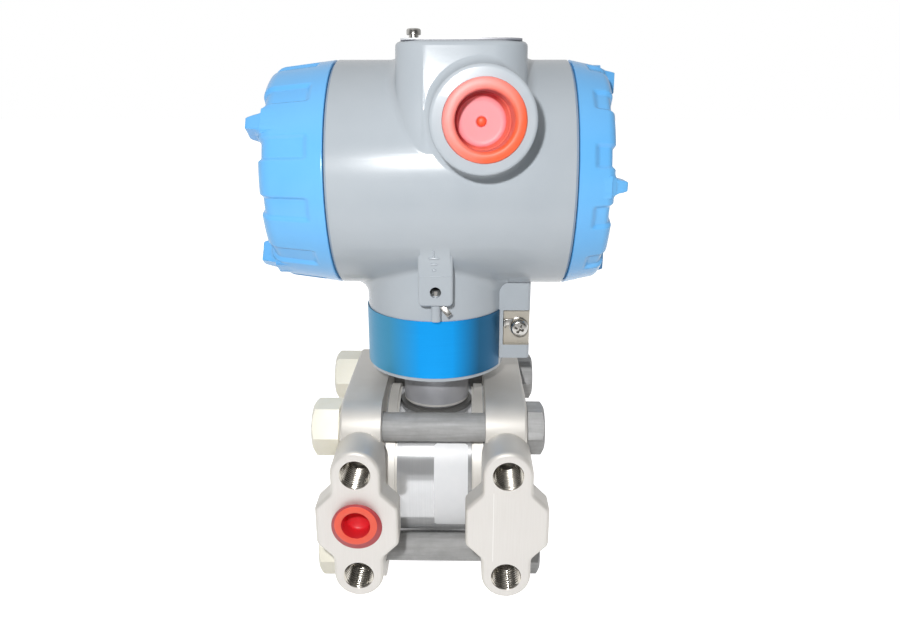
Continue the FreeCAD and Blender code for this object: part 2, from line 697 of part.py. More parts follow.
# Top plate: thin cover sheet on the hub, held by one washer-faced screw
cover = new_body("top_plate")
sheet_outline = sketch(cover, "XY_Plane", "hub_top")
rectangle(sheet_outline, "plate_inset - hub_left", "hub_right - plate_inset",
          "plate_inset - hub_depth", "hub_depth - plate_inset")
extrude(cover, sheet_outline, "plate_sheet")
soften(cover, "plate_corner", straight_along(Vector(0, 0, 1)))
screw_hole = sketch(cover, "XY_Plane", "hub_top")
circle(screw_hole, "top_screw_inset - hub_left", "-top_screw_front", "top_screw_size/2 + seat_clear")
extrude(cover, screw_hole, "plate_sheet", "Pocket", backwards=True)
screw = new_body("top_screw")
for level, size, tall, down in (("hub_top + plate_sheet", "top_washer", "top_washer_thick", False),
                                ("hub_top + plate_sheet + top_washer_thick", "top_screw_head", "top_screw_tall", False),
                                ("hub_top + plate_sheet", "top_screw_size", "plate_sheet + top_screw_grip", True)):
    step = sketch(screw, "XY_Plane", level)
    circle(step, "top_screw_inset - hub_left", "-top_screw_front", f"{size}/2")
    extrude(screw, step, tall, backwards=down)

# Terminal block: moulded insert on the partition, below the conduit entries, with barriers and screws
terminals = new_body("terminal_block")
disc = sketch(terminals, "YZ_Plane", "partition_right")
circle(disc, "0", "axis_height", "thread_radius - insert_slack")
extrude(terminals, disc, "terminal_thick")
trim = sketch(terminals, "YZ_Plane", "partition_right")
rectangle(trim, "-thread_radius", "thread_radius", "axis_height + terminal_top", "axis_height + thread_radius")
extrude(terminals, trim, "terminal_thick", "Pocket", backwards=True)
terminal_face = "partition_right + terminal_thick"
barriers = sketch(terminals, "YZ_Plane", terminal_face)
for place in (-1.5, -0.5, 0.5, 1.5):
    rectangle(barriers, f"{place}*barrier_pitch - barrier_width/2", f"{place}*barrier_pitch + barrier_width/2",
              "axis_height - barrier_low", "axis_height + terminal_top")
extrude(terminals, barriers, "barrier_tall")
terminal_heads = new_body("terminal_screws")
heads = sketch(terminal_heads, "YZ_Plane", terminal_face)
for place in (-1, 0, 1):
    circle(heads, f"{place}*barrier_pitch", "axis_height", "terminal_head/2")
extrude(terminal_heads, heads, "terminal_head_tall")

# Electronics module: potted round module screwed to the partition's other side
module = new_body("electronics_module")
disc = sketch(module, "YZ_Plane", "partition_left")
circle(disc, "0", "axis_height", "thread_radius - insert_slack")
extrude(module, disc, "module_thick", backwards=True)
module_heads = new_body("module_screws")
heads = sketch(module_heads, "YZ_Plane", "partition_left - module_thick")
for place in (-1, 1):
    circle(heads, f"{place}*module_screw_spread/2", "axis_height", "module_screw/2")
extrude(module_heads, heads, "module_screw_tall", backwards=True)


# Caps: cast covers that screw into the barrel, with axial grip slots and wrench lugs on the end
def cap(name, side, seam):
    length, end_radius, corner = f"{name}_length", f"{name}_end_radius", f"{name}_round"
    body = new_body(f"{name}_cap", up="axis_height")
    body.Placement = Placement(Vector(), Rotation(Vector(1, 0, 0), 1))
    body.setExpression("Placement.Rotation.Angle", linked(f"{name}_clock"))
    skirt, bore = "(thread_radius - skirt_clear)", "(thread_radius - skirt_clear - skirt_wall)"

    def spot(along, radius):
        return f"{side}*({seam} + {along})", radius
    shell = sketch(body, "XZ_Plane")
    polygon(shell, [spot("cap_gap", "body_radius"), spot(length, end_radius), spot(length, "0"),
                    spot(f"{length} - cap_wall", "0"), spot(f"{length} - cap_wall", bore),
                    spot("-skirt_length", bore), spot("-skirt_length", skirt), spot("cap_gap", skirt),
                    spot("cap_gap", "ring_inner"), spot("cap_gap + ring_groove", "ring_inner"),
                    spot("cap_gap + ring_groove", "ring_inner + ring_width"),
                    spot("cap_gap", "ring_inner + ring_width")])
    revolve(body, shell, "H_Axis")
    rim = number(end_radius)
    soften(body, corner, lambda edge: edge.Curve.TypeId == "Part::GeomCircle"
           and abs(edge.Curve.Radius - rim) < 1e-4 and flat_on("X", f"{side}*({seam} + {length})")(edge))

    outer = f"({end_radius} - wrench_margin)"
    lug_root = sketch(body, "YZ_Plane", f"{side}*({seam} + {length} - {corner})")
    rectangle(lug_root, f"-{name}_lug_width/2", f"{name}_lug_width/2", f"{outer} - wrench_long", outer)
    lug = extrude(body, lug_root, f"{corner} + {name}_lug_tall", backwards=side < 0, taper="-wrench_taper")
    around_x(body, lug, "wrench_lugs")

    slot = sketch(body, "XZ_Plane")
    slot.AttachmentOffset = Placement(Vector(), Rotation(Vector(1, 0, 0), 1))
    slot.setExpression("AttachmentOffset.Rotation.Angle", linked("180/grip_count"))
    slope = f"(body_radius - {end_radius})/{length}"
    polygon(slot, [spot("grip_start", f"body_radius - {slope}*grip_start - grip_depth"),
                   spot(f"{length} - grip_bevel", f"{end_radius} + {slope}*grip_bevel - grip_depth"),
                   spot(f"{length} - grip_depth", f"{end_radius} - grip_bevel"),
                   spot(f"{length} - grip_depth", f"{end_radius} - grip_run"),
                   spot(f"{length} + grip_depth", f"{end_radius} - grip_run"),
                   spot(f"{length} + grip_depth", "body_radius + grip_depth"),
                   spot("grip_start", "body_radius + grip_depth")])
    cut = revolve(body, slot, "H_Axis", "Groove", angle="grip_slot")
    around_x(body, cut, "grip_count")

    ring = new_body(f"{name}_cap_seal", up="axis_height")
    washer = sketch(ring, "YZ_Plane", f"{side}*({seam} + cap_gap + ring_groove - ring_slack)")
    circle(washer, "0", "0", "ring_inner + ring_width - ring_slack")
    circle(washer, "0", "0", "ring_inner + ring_slack")
    extrude(ring, washer, "ring_groove - ring_slack", backwards=side > 0)


cap("left", -1, "body_left")
cap("right", 1, "body_right")

doc.recompute()
subparts = [item for item in doc.Objects if item.TypeId == "PartDesign::Body"]
for item in doc.Objects:
    if "Invalid" in item.State or "Error" in item.State:
        raise RuntimeError(f"{item.Label} failed: {item.State}")
for item in subparts:
    if item.Shape.isNull() or not item.Shape.isValid():
        raise RuntimeError(f"{item.Label} has no valid shape")

os.makedirs("parts", exist_ok=True)
for item in subparts:
    item.Shape.exportStep(f"parts/{item.Label}.step")
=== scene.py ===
import math

import bmesh
import bpy
from mathutils import Euler, Matrix, Vector


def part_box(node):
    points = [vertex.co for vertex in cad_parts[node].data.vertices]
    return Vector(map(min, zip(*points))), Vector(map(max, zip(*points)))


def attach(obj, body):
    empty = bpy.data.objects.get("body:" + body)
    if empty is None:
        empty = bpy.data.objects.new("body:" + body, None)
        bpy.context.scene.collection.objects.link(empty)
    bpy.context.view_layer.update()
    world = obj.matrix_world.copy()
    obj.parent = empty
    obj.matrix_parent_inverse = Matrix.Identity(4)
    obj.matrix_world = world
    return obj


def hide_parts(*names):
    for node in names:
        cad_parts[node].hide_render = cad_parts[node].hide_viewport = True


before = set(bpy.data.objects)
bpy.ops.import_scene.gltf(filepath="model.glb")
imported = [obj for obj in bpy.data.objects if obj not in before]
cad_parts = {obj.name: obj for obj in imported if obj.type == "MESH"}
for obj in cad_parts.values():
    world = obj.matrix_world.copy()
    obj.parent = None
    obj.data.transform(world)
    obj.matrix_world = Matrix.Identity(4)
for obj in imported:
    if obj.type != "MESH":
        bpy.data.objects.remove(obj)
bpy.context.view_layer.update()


# Process head and reference head: the two stainless castings that clamp the sensor between them. They come
# out of the mould shot-blasted and grey, and their front faces are linished flat to take a manifold.
MM = 0.001


def linear(code):
    """The linear values that Blender's sockets take for a colour written as sRGB hex."""
    parts = [int(code[place:place + 2], 16) / 255 for place in (1, 3, 5)]
    return [part / 12.92 if part <= 0.04045 else ((part + 0.055) / 1.055) ** 2.4 for part in parts] + [1.0]


def add(tree, kind, inputs={}, **settings):
    """Add a node with its settings, and set or link its inputs by name or number."""
    made = tree.nodes.new(kind)
    for name, value in settings.items():
        setattr(made, name, value)
    for socket, value in inputs.items():
        if isinstance(value, bpy.types.NodeSocket):
            tree.links.new(value, made.inputs[socket])
        else:
            made.inputs[socket].default_value = value
    return made


def finish_of(name, **sockets):
    """A material with one Principled shader: the material, its tree, the shader and Object coordinates."""
    made = bpy.data.materials.new(name)
    made.use_nodes = True
    shader = made.node_tree.nodes["Principled BSDF"]
    for socket, value in sockets.items():
        shader.inputs[socket.replace("_", " ")].default_value = value
    return made, made.node_tree, shader, add(made.node_tree, "ShaderNodeTexCoord").outputs["Object"]


def shade_by_angle(mesh, angle):
    mesh.shade_smooth()
    mesh.set_sharp_from_angle(angle=math.radians(angle))


def placed(name, mesh):
    piece = bpy.data.objects.new(name, mesh)
    bpy.context.scene.collection.objects.link(piece)
    return piece


def smooth_copy(node, name, angle=35):
    """A copy of a CAD node's mesh, its loose triangles merged and shaded smooth up to an angle."""
    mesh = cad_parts[node].data.copy()
    mesh.name = name
    shape = bmesh.new()
    shape.from_mesh(mesh)
    bmesh.ops.remove_doubles(shape, verts=shape.verts, dist=1e-6)
    shape.to_mesh(mesh)
    shape.free()
    if "custom_normal" in mesh.attributes:
        mesh.attributes.remove(mesh.attributes["custom_normal"])
    shade_by_angle(mesh, angle)
    return placed(name, mesh)


def show(piece, body, material, slot, *nodes):
    """Give a finished piece its material and its body, and hide the CAD nodes that it stands for. The slot is
    not used.
    """
    if material:
        piece.data.materials.clear()
        piece.data.materials.append(material)
    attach(piece, body)
    if nodes:
        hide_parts(*nodes)


# Shot-blasted stainless: an even, silvery grey with a soft sparkle, a little browner in broad patches.
# The grit leaves dimples of about 0.2 mm, drawn at 0.6 mm so that they show.
blasted, tree, shader, place = finish_of("shot_blasted_stainless_casting", Metallic=0.55)
patches = add(tree, "ShaderNodeTexNoise", {"Vector": place, "Scale": 1 / (9 * MM), "Detail": 4.0})
cast_tone = add(tree, "ShaderNodeMix", {0: patches.outputs[0], 6: linear("#cfcbc4"), 7: linear("#dedbd6")},
                data_type="RGBA")
split = add(tree, "ShaderNodeSeparateXYZ", {0: place})
# The linished front face is the plane Y = 0. Its belt marks run upwards, about 0.3 mm apart; they are
# drawn at 0.5 mm so that they show.
faced = add(tree, "ShaderNodeMath", {0: split.outputs["Y"], 1: 0.15 * MM}, operation="LESS_THAN")
streaks = add(tree, "ShaderNodeMapping", {"Vector": place, "Scale": (1 / (0.5 * MM), 1, 1 / (12 * MM))})
belt = add(tree, "ShaderNodeTexNoise", {"Vector": streaks.outputs[0], "Scale": 1.0, "Detail": 3.0})
face_tone = add(tree, "ShaderNodeMix", {0: belt.outputs[0], 6: linear("#d9d5d0"), 7: linear("#e1deda")},
                data_type="RGBA")
tone = add(tree, "ShaderNodeMix", {0: faced.outputs[0], 6: cast_tone.outputs[2], 7: face_tone.outputs[2]},
           data_type="RGBA")
# A painted highlight: one fine bright line down the right face, 22 mm from the middle and 28 mm long.
painted_highlight_line = add(tree, "ShaderNodeMath", {0: split.outputs["X"], 1: 22 * MM, 2: 0.1 * MM}, operation="COMPARE")
length = add(tree, "ShaderNodeMath", {0: split.outputs["Z"], 1: 0.0, 2: 14 * MM}, operation="COMPARE")
painted_highlight_line = add(tree, "ShaderNodeMath", {0: painted_highlight_line.outputs[0], 1: length.outputs[0]}, operation="MULTIPLY")
painted_highlight_line = add(tree, "ShaderNodeMath", {0: painted_highlight_line.outputs[0], 1: faced.outputs[0]}, operation="MULTIPLY")
tone = add(tree, "ShaderNodeMix", {0: painted_highlight_line.outputs[0], 6: tone.outputs[2], 7: linear("#f1efec")},
           data_type="RGBA")
tree.links.new(tone.outputs[2], shader.inputs["Base Color"])
gloss = add(tree, "ShaderNodeMapRange", {"Value": patches.outputs[0], "To Min": 0.48, "To Max": 0.58})
tree.links.new(gloss.outputs[0], shader.inputs["Roughness"])
grit = add(tree, "ShaderNodeTexNoise", {"Vector": place, "Scale": 1 / (0.6 * MM), "Detail": 2.0})
relief = add(tree, "ShaderNodeMix", {0: faced.outputs[0], 2: grit.outputs[0], 3: belt.outputs[0]})
bump = add(tree, "ShaderNodeBump", {"Height": relief.outputs[0], "Strength": 0.5, "Distance": 0.03 * MM})
tree.links.new(bump.outputs[0], shader.inputs["Normal"])
for node in ("process_head", "reference_head"):
    show(smooth_copy(node, node + "_casting"), "meter", blasted, "cast_steel", node)


# Tapped holes: two in each head, drilled, countersunk and cut with a 7/16 inch fine thread for the manifold
# bolts. Each thread is a sleeve inside its hole, and one tree sets the four of them out.
PORTS_APART = 54
HOLES_APART = 41.3


def meshed(name, shape, angle=35):
    """Keep a finished bmesh as a mesh, shaded smooth up to an angle."""
    mesh = bpy.data.meshes.new(name)
    shape.to_mesh(mesh)
    shape.free()
    shade_by_angle(mesh, angle)
    return mesh


def turned(profile, steps, axis="X", angle=35):
    """A mesh turned about an axis, from the (along, radius) points in mm that profile gives at each angle."""
    shape = bmesh.new()
    rings = []
    turns = [math.tau * step / steps for step in range(steps)] if isinstance(steps, int) else steps
    for turn in turns:
        ring = []
        for along, radius in profile(turn):
            first, second = radius * math.cos(turn) * MM, radius * math.sin(turn) * MM
            spot = (along * MM, first, second) if axis == "X" else (first, along * MM, second)
            ring.append(shape.verts.new(spot if axis != "Z" else (first, second, along * MM)))
        rings.append(ring)
    for ring, after in zip(rings, rings[1:] + rings[:1]):
        for low in range(len(ring) - 1):
            shape.faces.new((ring[low], ring[low + 1], after[low + 1], after[low]))
    bmesh.ops.remove_doubles(shape, verts=shape.verts, dist=1e-7)
    bmesh.ops.recalc_face_normals(shape, faces=shape.faces)
    return meshed("turned", shape, angle)


def grown(name, mesh, tree, inputs):
    """Run a Geometry Nodes tree on a mesh and keep the result as a plain mesh."""
    piece = placed(name, mesh)
    layout = piece.modifiers.new(tree.name, "NODES")
    layout.node_group = tree
    for item in tree.interface.items_tree:
        if item.name in inputs:
            layout[item.identifier] = inputs[item.name]
    result = bpy.data.meshes.new_from_object(piece.evaluated_get(bpy.context.evaluated_depsgraph_get()))
    piece.modifiers.remove(layout)
    piece.data = result
    return piece


corners = bpy.data.node_groups.new("four_corners", "GeometryNodeTree")
corners.is_modifier = True
for socket, kind in (("Geometry", "Geometry"), ("Across", "Float"), ("Up", "Float"), ("Turn", "Rotation"),
                     ("Middle", "Vector"), ("Finish", "Material")):
    corners.interface.new_socket(socket, in_out="INPUT", socket_type="NodeSocket" + kind)
corners.interface.new_socket("Geometry", in_out="OUTPUT", socket_type="NodeSocketGeometry")
given = add(corners, "NodeGroupInput").outputs
grid = add(corners, "GeometryNodeMeshGrid", {"Size X": given["Across"], "Size Y": given["Up"],
                                             "Vertices X": 2, "Vertices Y": 2})
points = add(corners, "GeometryNodeTransform", {"Geometry": grid.outputs["Mesh"], "Rotation": given["Turn"],
                                                "Translation": given["Middle"]})
copies = add(corners, "GeometryNodeInstanceOnPoints",
             {"Points": points.outputs[0], "Instance": given["Geometry"]})
whole = add(corners, "GeometryNodeRealizeInstances", {"Geometry": copies.outputs[0]})
coated = add(corners, "GeometryNodeSetMaterial", {"Geometry": whole.outputs[0], "Material": given["Finish"]})
add(corners, "NodeGroupOutput", {0: coated.outputs[0]})


def sleeve(turn):
    """A 7/16-20 thread: 1.27 mm pitch, with its countersunk mouth, inside the 11.1 mm hole."""
    pitch, crest, root, wall, deep = 1.27, 4.85, 5.42, 5.545, 14.6
    mouth, fine = 0.02, 10
    rows = [(deep, wall), (mouth, wall)]
    for row in range(int(deep / pitch * fine)):
        along = mouth + row * pitch / fine
        phase = (along / pitch - turn / math.tau) % 1
        # The root and the crest are flat, with straight flanks between them.
        height = max(0.0, min(1.0, 2.3 * abs(2 * phase - 1) - 0.5))
        rows.append((along, max(root - (root - crest) * height, wall - along)))
    return rows + [(deep, crest), (deep, wall)]


# Cut thread: bright, sharp flanks that mirror each other, so the hole looks dark with bright lines.
tapped, tree, shader, place = finish_of("tapped_stainless_thread", Metallic=1.0)
swarf = add(tree, "ShaderNodeTexNoise", {"Vector": place, "Scale": 1 / (1.5 * MM), "Detail": 3.0})
tone = add(tree, "ShaderNodeMix", {0: swarf.outputs[0], 6: linear("#a59e92"), 7: linear("#d6d2ca")},
           data_type="RGBA")
tree.links.new(tone.outputs[2], shader.inputs["Base Color"])
gloss = add(tree, "ShaderNodeMapRange", {"Value": swarf.outputs[0], "To Min": 0.14, "To Max": 0.30})
tree.links.new(gloss.outputs[0], shader.inputs["Roughness"])
threads = grown("tapped_threads", turned(sleeve, 64, "Y"), corners, {
    "Across": PORTS_APART * MM, "Up": HOLES_APART * MM, "Turn": (math.pi / 2, 0, 0), "Middle": (0, 0, 0),
    "Finish": tapped})
show(threads, "meter", None, "cast_steel")


# Sensor body: a stainless puck between the heads, turned on a lathe and welded round at both ends, with its
# header tube standing on top and a thin diaphragm and a white gasket at each head.
# Turned stainless: fine rings round the axis, about 0.15 mm apart, drawn at 0.5 mm so that they show.
lathed, tree, shader, place = finish_of("turned_stainless_bar")
rings = add(tree, "ShaderNodeMapping",
            {"Vector": place, "Scale": (1 / (0.5 * MM), 1 / (40 * MM), 1 / (40 * MM))})
lines = add(tree, "ShaderNodeTexNoise", {"Vector": rings.outputs[0], "Scale": 1.0, "Detail": 3.0})
clouds = add(tree, "ShaderNodeTexNoise", {"Vector": place, "Scale": 1 / (7 * MM), "Detail": 3.0})
blur = add(tree, "ShaderNodeMath", {0: lines.outputs[0], 1: clouds.outputs[0]}, operation="MULTIPLY")
tone = add(tree, "ShaderNodeMix", {0: blur.outputs[0], 6: linear("#c6c7c9"), 7: linear("#e0e1e2")},
           data_type="RGBA")
# The end rings, from 14.5 mm off the middle to the heads, are blasted after welding: paler and without
# shine. The bar between them is only half metallic, so it stays pale where it mirrors a dark room.
split = add(tree, "ShaderNodeSeparateXYZ", {0: place})
off = add(tree, "ShaderNodeMath", {0: split.outputs["X"]}, operation="ABSOLUTE")
ends = add(tree, "ShaderNodeMath", {0: off.outputs[0], 1: 16.7 * MM, 2: 2.2 * MM}, operation="COMPARE")
tone = add(tree, "ShaderNodeMix", {0: ends.outputs[0], 6: tone.outputs[2], 7: linear("#ebe8e2")},
           data_type="RGBA")
gloss = add(tree, "ShaderNodeMapRange", {"Value": ends.outputs[0], "To Min": 0.13, "To Max": 0.5})
tree.links.new(gloss.outputs[0], shader.inputs["Roughness"])
metal = add(tree, "ShaderNodeMapRange", {"Value": ends.outputs[0], "To Min": 0.5, "To Max": 0.4})
tree.links.new(metal.outputs[0], shader.inputs["Metallic"])
tree.links.new(tone.outputs[2], shader.inputs["Base Color"])
bump = add(tree, "ShaderNodeBump", {"Height": lines.outputs[0], "Strength": 0.15, "Distance": 0.01 * MM})
tree.links.new(bump.outputs[0], shader.inputs["Normal"])
show(smooth_copy("sensor_body", "sensor_body_turned"), "meter", lathed, "turned_steel", "sensor_body")
show(smooth_copy("isolating_diaphragm", "diaphragm_foil"), "meter", lathed, "turned_steel",
     "isolating_diaphragm")

# Header tube: drawn stainless, bead-blasted to a duller grey than the sensor, with a painted highlight at its
# chamfer.
tube, tree, shader, place = finish_of("bead_blasted_stainless_tube", Metallic=0.5, Roughness=0.5)
haze = add(tree, "ShaderNodeTexNoise", {"Vector": place, "Scale": 1 / (5 * MM), "Detail": 4.0})
tone = add(tree, "ShaderNodeMix", {0: haze.outputs[0], 6: linear("#c1c2c7"), 7: linear("#d3d4d9")},
           data_type="RGBA")
# Painted shade: the collar at its foot is dark, up to 27.7 mm over the sensor's axis. A painted highlight, a
# bright band of 0.9 mm, runs round the chamfer over it.
split = add(tree, "ShaderNodeSeparateXYZ", {0: place})
painted_collar_shade = add(tree, "ShaderNodeMath", {0: split.outputs["Z"], 1: 27.7 * MM}, operation="LESS_THAN")
tone = add(tree, "ShaderNodeMix", {0: painted_collar_shade.outputs[0], 6: tone.outputs[2], 7: linear("#7b7a78")},
           data_type="RGBA")
painted_chamfer_highlight = add(tree, "ShaderNodeMath", {0: split.outputs["Z"], 1: 29.1 * MM, 2: 0.45 * MM},
              operation="COMPARE")
tone = add(tree, "ShaderNodeMix", {0: painted_chamfer_highlight.outputs[0], 6: tone.outputs[2], 7: linear("#f4f2ee")},
           data_type="RGBA")
tree.links.new(tone.outputs[2], shader.inputs["Base Color"])
show(smooth_copy("header_tube", "header_tube_drawn"), "meter", tube, "turned_steel", "header_tube")

# Moulded gasket: opaque white filled fluoropolymer, waxy and slightly mottled.
filled, tree, shader, place = finish_of("filled_white_fluoropolymer", Roughness=0.55, IOR=1.38)
fleck = add(tree, "ShaderNodeTexNoise", {"Vector": place, "Scale": 1 / (0.8 * MM), "Detail": 2.0})
tone = add(tree, "ShaderNodeMix", {0: fleck.outputs[0], 6: linear("#d2d0c9"), 7: linear("#e6e5e0")},
           data_type="RGBA")
tree.links.new(tone.outputs[2], shader.inputs["Base Color"])
for node in ("process_gasket", "reference_gasket"):
    show(smooth_copy(node, node + "_ring"), "meter", filled, "gasket", node)


# Sensor label: a blank strip of white polyester film stuck round the front of the sensor body, with
# rounded corners. It is 13 mm wide and covers a fifth of the way round.
AXIS_Y = 53.5
SENSOR_RADIUS = 31


def on_sensor(across, swing, lift):
    """A point over the sensor's skin, by its X in mm and its swing up from the front in degrees."""
    reach = SENSOR_RADIUS + lift
    angle = math.radians(swing)
    return across * MM, (AXIS_Y - reach * math.cos(angle)) * MM, reach * math.sin(angle) * MM


shape = bmesh.new()
# The label is sized in mm along X and in degrees round the sensor.
wide, tall, rounding, thick = (-0.1, 13.0), (-31.0, 37.0), 1.1, 0.12
glue, steps = 0.02, 60
half_x, half_s = (wide[1] - wide[0]) / 2, math.radians(tall[1] - tall[0]) * SENSOR_RADIUS / 2
rows = []
for step in range(steps + 1):
    run = -half_s + 2 * half_s * step / steps
    short = max(0.0, abs(run) - (half_s - rounding))
    edge = half_x - rounding + math.sqrt(max(0.0, rounding ** 2 - short ** 2))
    swing = math.degrees(run / SENSOR_RADIUS) + sum(tall) / 2
    middle = sum(wide) / 2
    rows.append([shape.verts.new(on_sensor(middle + place_x, swing, lift)) for place_x, lift in
                 ((-edge, glue), (-edge, thick), (edge, thick), (edge, glue))])
for row, after in zip(rows, rows[1:]):
    for low in range(4):
        shape.faces.new((row[low], row[(low + 1) % 4], after[(low + 1) % 4], after[low]))
shape.faces.new(rows[0])
shape.faces.new(rows[-1])
bmesh.ops.recalc_face_normals(shape, faces=shape.faces)
mesh = meshed("sensor_label", shape, 30)
# Coated label film: plain white with a soft gloss, and a faint wave where it was rubbed down.
film, tree, shader, place = finish_of("white_polyester_label", Roughness=0.38)
wave = add(tree, "ShaderNodeTexNoise", {"Vector": place, "Scale": 1 / (6 * MM), "Detail": 2.0})
tone = add(tree, "ShaderNodeMix", {0: wave.outputs[0], 6: linear("#eceef1"), 7: linear("#f7f8fa")},
           data_type="RGBA")
tree.links.new(tone.outputs[2], shader.inputs["Base Color"])
bump = add(tree, "ShaderNodeBump", {"Height": wave.outputs[0], "Strength": 0.4, "Distance": 0.05 * MM})
tree.links.new(bump.outputs[0], shader.inputs["Normal"])
show(placed("sensor_label", mesh), "meter", film, "gasket")


# Body bolts: four 7/16 inch hex bolts pull the heads together. Their heads are on the right, forged with a
# chamfered top, and their shanks show between the heads; the coated nuts are on the left.
BOLTS_APART = 53
CHAMFER_SLOPE = math.tan(math.radians(30))


def hexagon(turn, flats):
    """Distance from the middle to a hexagon's side at an angle, with a flat above and one below."""
    return flats / 2 / math.cos(turn % (math.pi / 3) - math.pi / 6)


def bolt(turn):
    head = hexagon(turn, flats=17.46)
    sink = (head - 8.2) * CHAMFER_SLOPE
    return [(-44.7, 0), (-44.7, 4.7), (-43.9, 5.5), (34.8, 5.5), (34.8, 8.4), (35.1, 8.4),
            (35.1, head - 0.05), (35.25, head), (41.45 - sink, head), (41.5, 8.0), (41.5, 0)]


def nut(turn):
    side = hexagon(turn, flats=19.05)
    sink = (side - 9.0) * CHAMFER_SLOPE
    return [(-34.8, 5.6), (-34.8, 9.1), (-35.1, 9.1), (-35.1, side - 0.05), (-35.25, side),
            (-45.4 + sink, side), (-45.5, 8.9), (-45.5, 6.2), (-44.9, 5.6), (-34.8, 5.6)]


# Plated bolt steel: dull grey with darker handling marks and streaks along the shank.
plated, tree, shader, place = finish_of("dull_plated_bolt_steel", Metallic=0.25)
marks = add(tree, "ShaderNodeTexNoise",
            {"Vector": place, "Scale": 1 / (5 * MM), "Detail": 6.0, "Roughness": 0.65})
draw = add(tree, "ShaderNodeMapping",
           {"Vector": place, "Scale": (1 / (14 * MM), 1 / (1.2 * MM), 1 / (1.2 * MM))})
drag = add(tree, "ShaderNodeTexNoise", {"Vector": draw.outputs[0], "Scale": 1.0, "Detail": 3.0})
blur = add(tree, "ShaderNodeMath", {0: marks.outputs[0], 1: drag.outputs[0]}, operation="MULTIPLY")
spread = add(tree, "ShaderNodeMapRange", {"Value": blur.outputs[0], "From Min": 0.12, "From Max": 0.42})
tone = add(tree, "ShaderNodeMix", {0: spread.outputs[0], 6: linear("#a2a2a1"), 7: linear("#bbbbbb")},
           data_type="RGBA")
tree.links.new(tone.outputs[2], shader.inputs["Base Color"])
gloss = add(tree, "ShaderNodeMapRange", {"Value": marks.outputs[0], "To Min": 0.6, "To Max": 0.72})
tree.links.new(gloss.outputs[0], shader.inputs["Roughness"])
bump = add(tree, "ShaderNodeBump", {"Height": blur.outputs[0], "Strength": 0.4, "Distance": 0.05 * MM})
tree.links.new(bump.outputs[0], shader.inputs["Normal"])
bolt_square = {"Across": BOLTS_APART * MM, "Up": BOLTS_APART * MM, "Turn": (0, math.pi / 2, 0),
               "Middle": (0, AXIS_Y * MM, 0)}
bolts = grown("body_bolts_forged", turned(bolt, 72), corners, {**bolt_square, "Finish": plated})
show(bolts, "meter", None, "plated_bolt", "body_bolts")

# Coated nut: a thick cream coating, smooth and slightly uneven, paler on the flats.
cream, tree, shader, place = finish_of("cream_coated_nut", Roughness=0.42)
pool = add(tree, "ShaderNodeTexNoise", {"Vector": place, "Scale": 1 / (6 * MM), "Detail": 3.0})
tone = add(tree, "ShaderNodeMix", {0: pool.outputs[0], 6: linear("#f8f3de"), 7: linear("#fffcf0")},
           data_type="RGBA")
tree.links.new(tone.outputs[2], shader.inputs["Base Color"])
bump = add(tree, "ShaderNodeBump", {"Height": pool.outputs[0], "Strength": 0.3, "Distance": 0.08 * MM})
tree.links.new(bump.outputs[0], shader.inputs["Normal"])
nuts = grown("body_nuts_coated", turned(nut, 72), corners, {**bolt_square, "Finish": cream})
show(nuts, "meter", None, "coated_nut", "body_nuts")


# Vent plugs: a hex plug with a small bleed hole, screwed into the rear end of each head behind its port.
# They are turned from stainless bar, like the sensor.
def vent(turn):
    side = hexagon(turn, flats=14.3)
    sink = (side - 6.7) * CHAMFER_SLOPE
    return [(78.5, 0), (78.5, 4.2), (79.2, 4.9), (91.5, 4.9), (91.5, side), (98.45 - sink, side), (98.5, 6.5),
            (98.5, 1.6), (98.2, 1.3), (94.0, 1.3), (94.0, 0)]


vent_mesh = turned(vent, 72, "Y")
pair = bmesh.new()
for side in (-1, 1):
    shift = Vector((side * PORTS_APART / 2 * MM, 0, 0))
    vent_mesh.transform(Matrix.Translation(shift))
    pair.from_mesh(vent_mesh)
    vent_mesh.transform(Matrix.Translation(-shift))
pair.to_mesh(vent_mesh)
pair.free()
shade_by_angle(vent_mesh, 35)
show(placed("vent_plugs_turned", vent_mesh), "meter", lathed, "turned_steel", "vent_plugs")


# Process port plug: a push-in transport plug of soft red polyethylene. It is moulded with a thick rim that
# stands proud of the left head and a shallow cup in the middle.
lip, lean = 2.6, 2.1
port_rows = [(10.0, 0), (10.0, 6.3), (9.6, 6.7), (0.0, 6.7), (0.0, 9.1), (-0.15, 9.15), (-0.35, 9.05),
             (-2.3, 7.8), (-2.52, 7.62), (-lip, 7.4), (-lip, 5.4), (-2.52, 5.24), (-2.3, 5.15), (4.6, 4.6),
             (5.2, 4.35), (5.6, 3.7), (6.6, 1.2), (6.75, 0)]
# Soft polyethylene: light sinks in and glows orange at thin rims; the surface is waxy with a fine haze.
red, tree, shader, place = finish_of("moulded_red_polyethylene", Roughness=0.42, Subsurface_Weight=0.1,
                                     Subsurface_Scale=0.002, IOR=1.51)
shader.inputs["Subsurface Radius"].default_value = (1.0, 0.3, 0.2)
wax = add(tree, "ShaderNodeTexNoise", {"Vector": place, "Scale": 1 / (3 * MM), "Detail": 4.0})
tone = add(tree, "ShaderNodeMix", {0: wax.outputs[0], 6: linear("#f75a42"), 7: linear("#fd6c54")},
           data_type="RGBA")
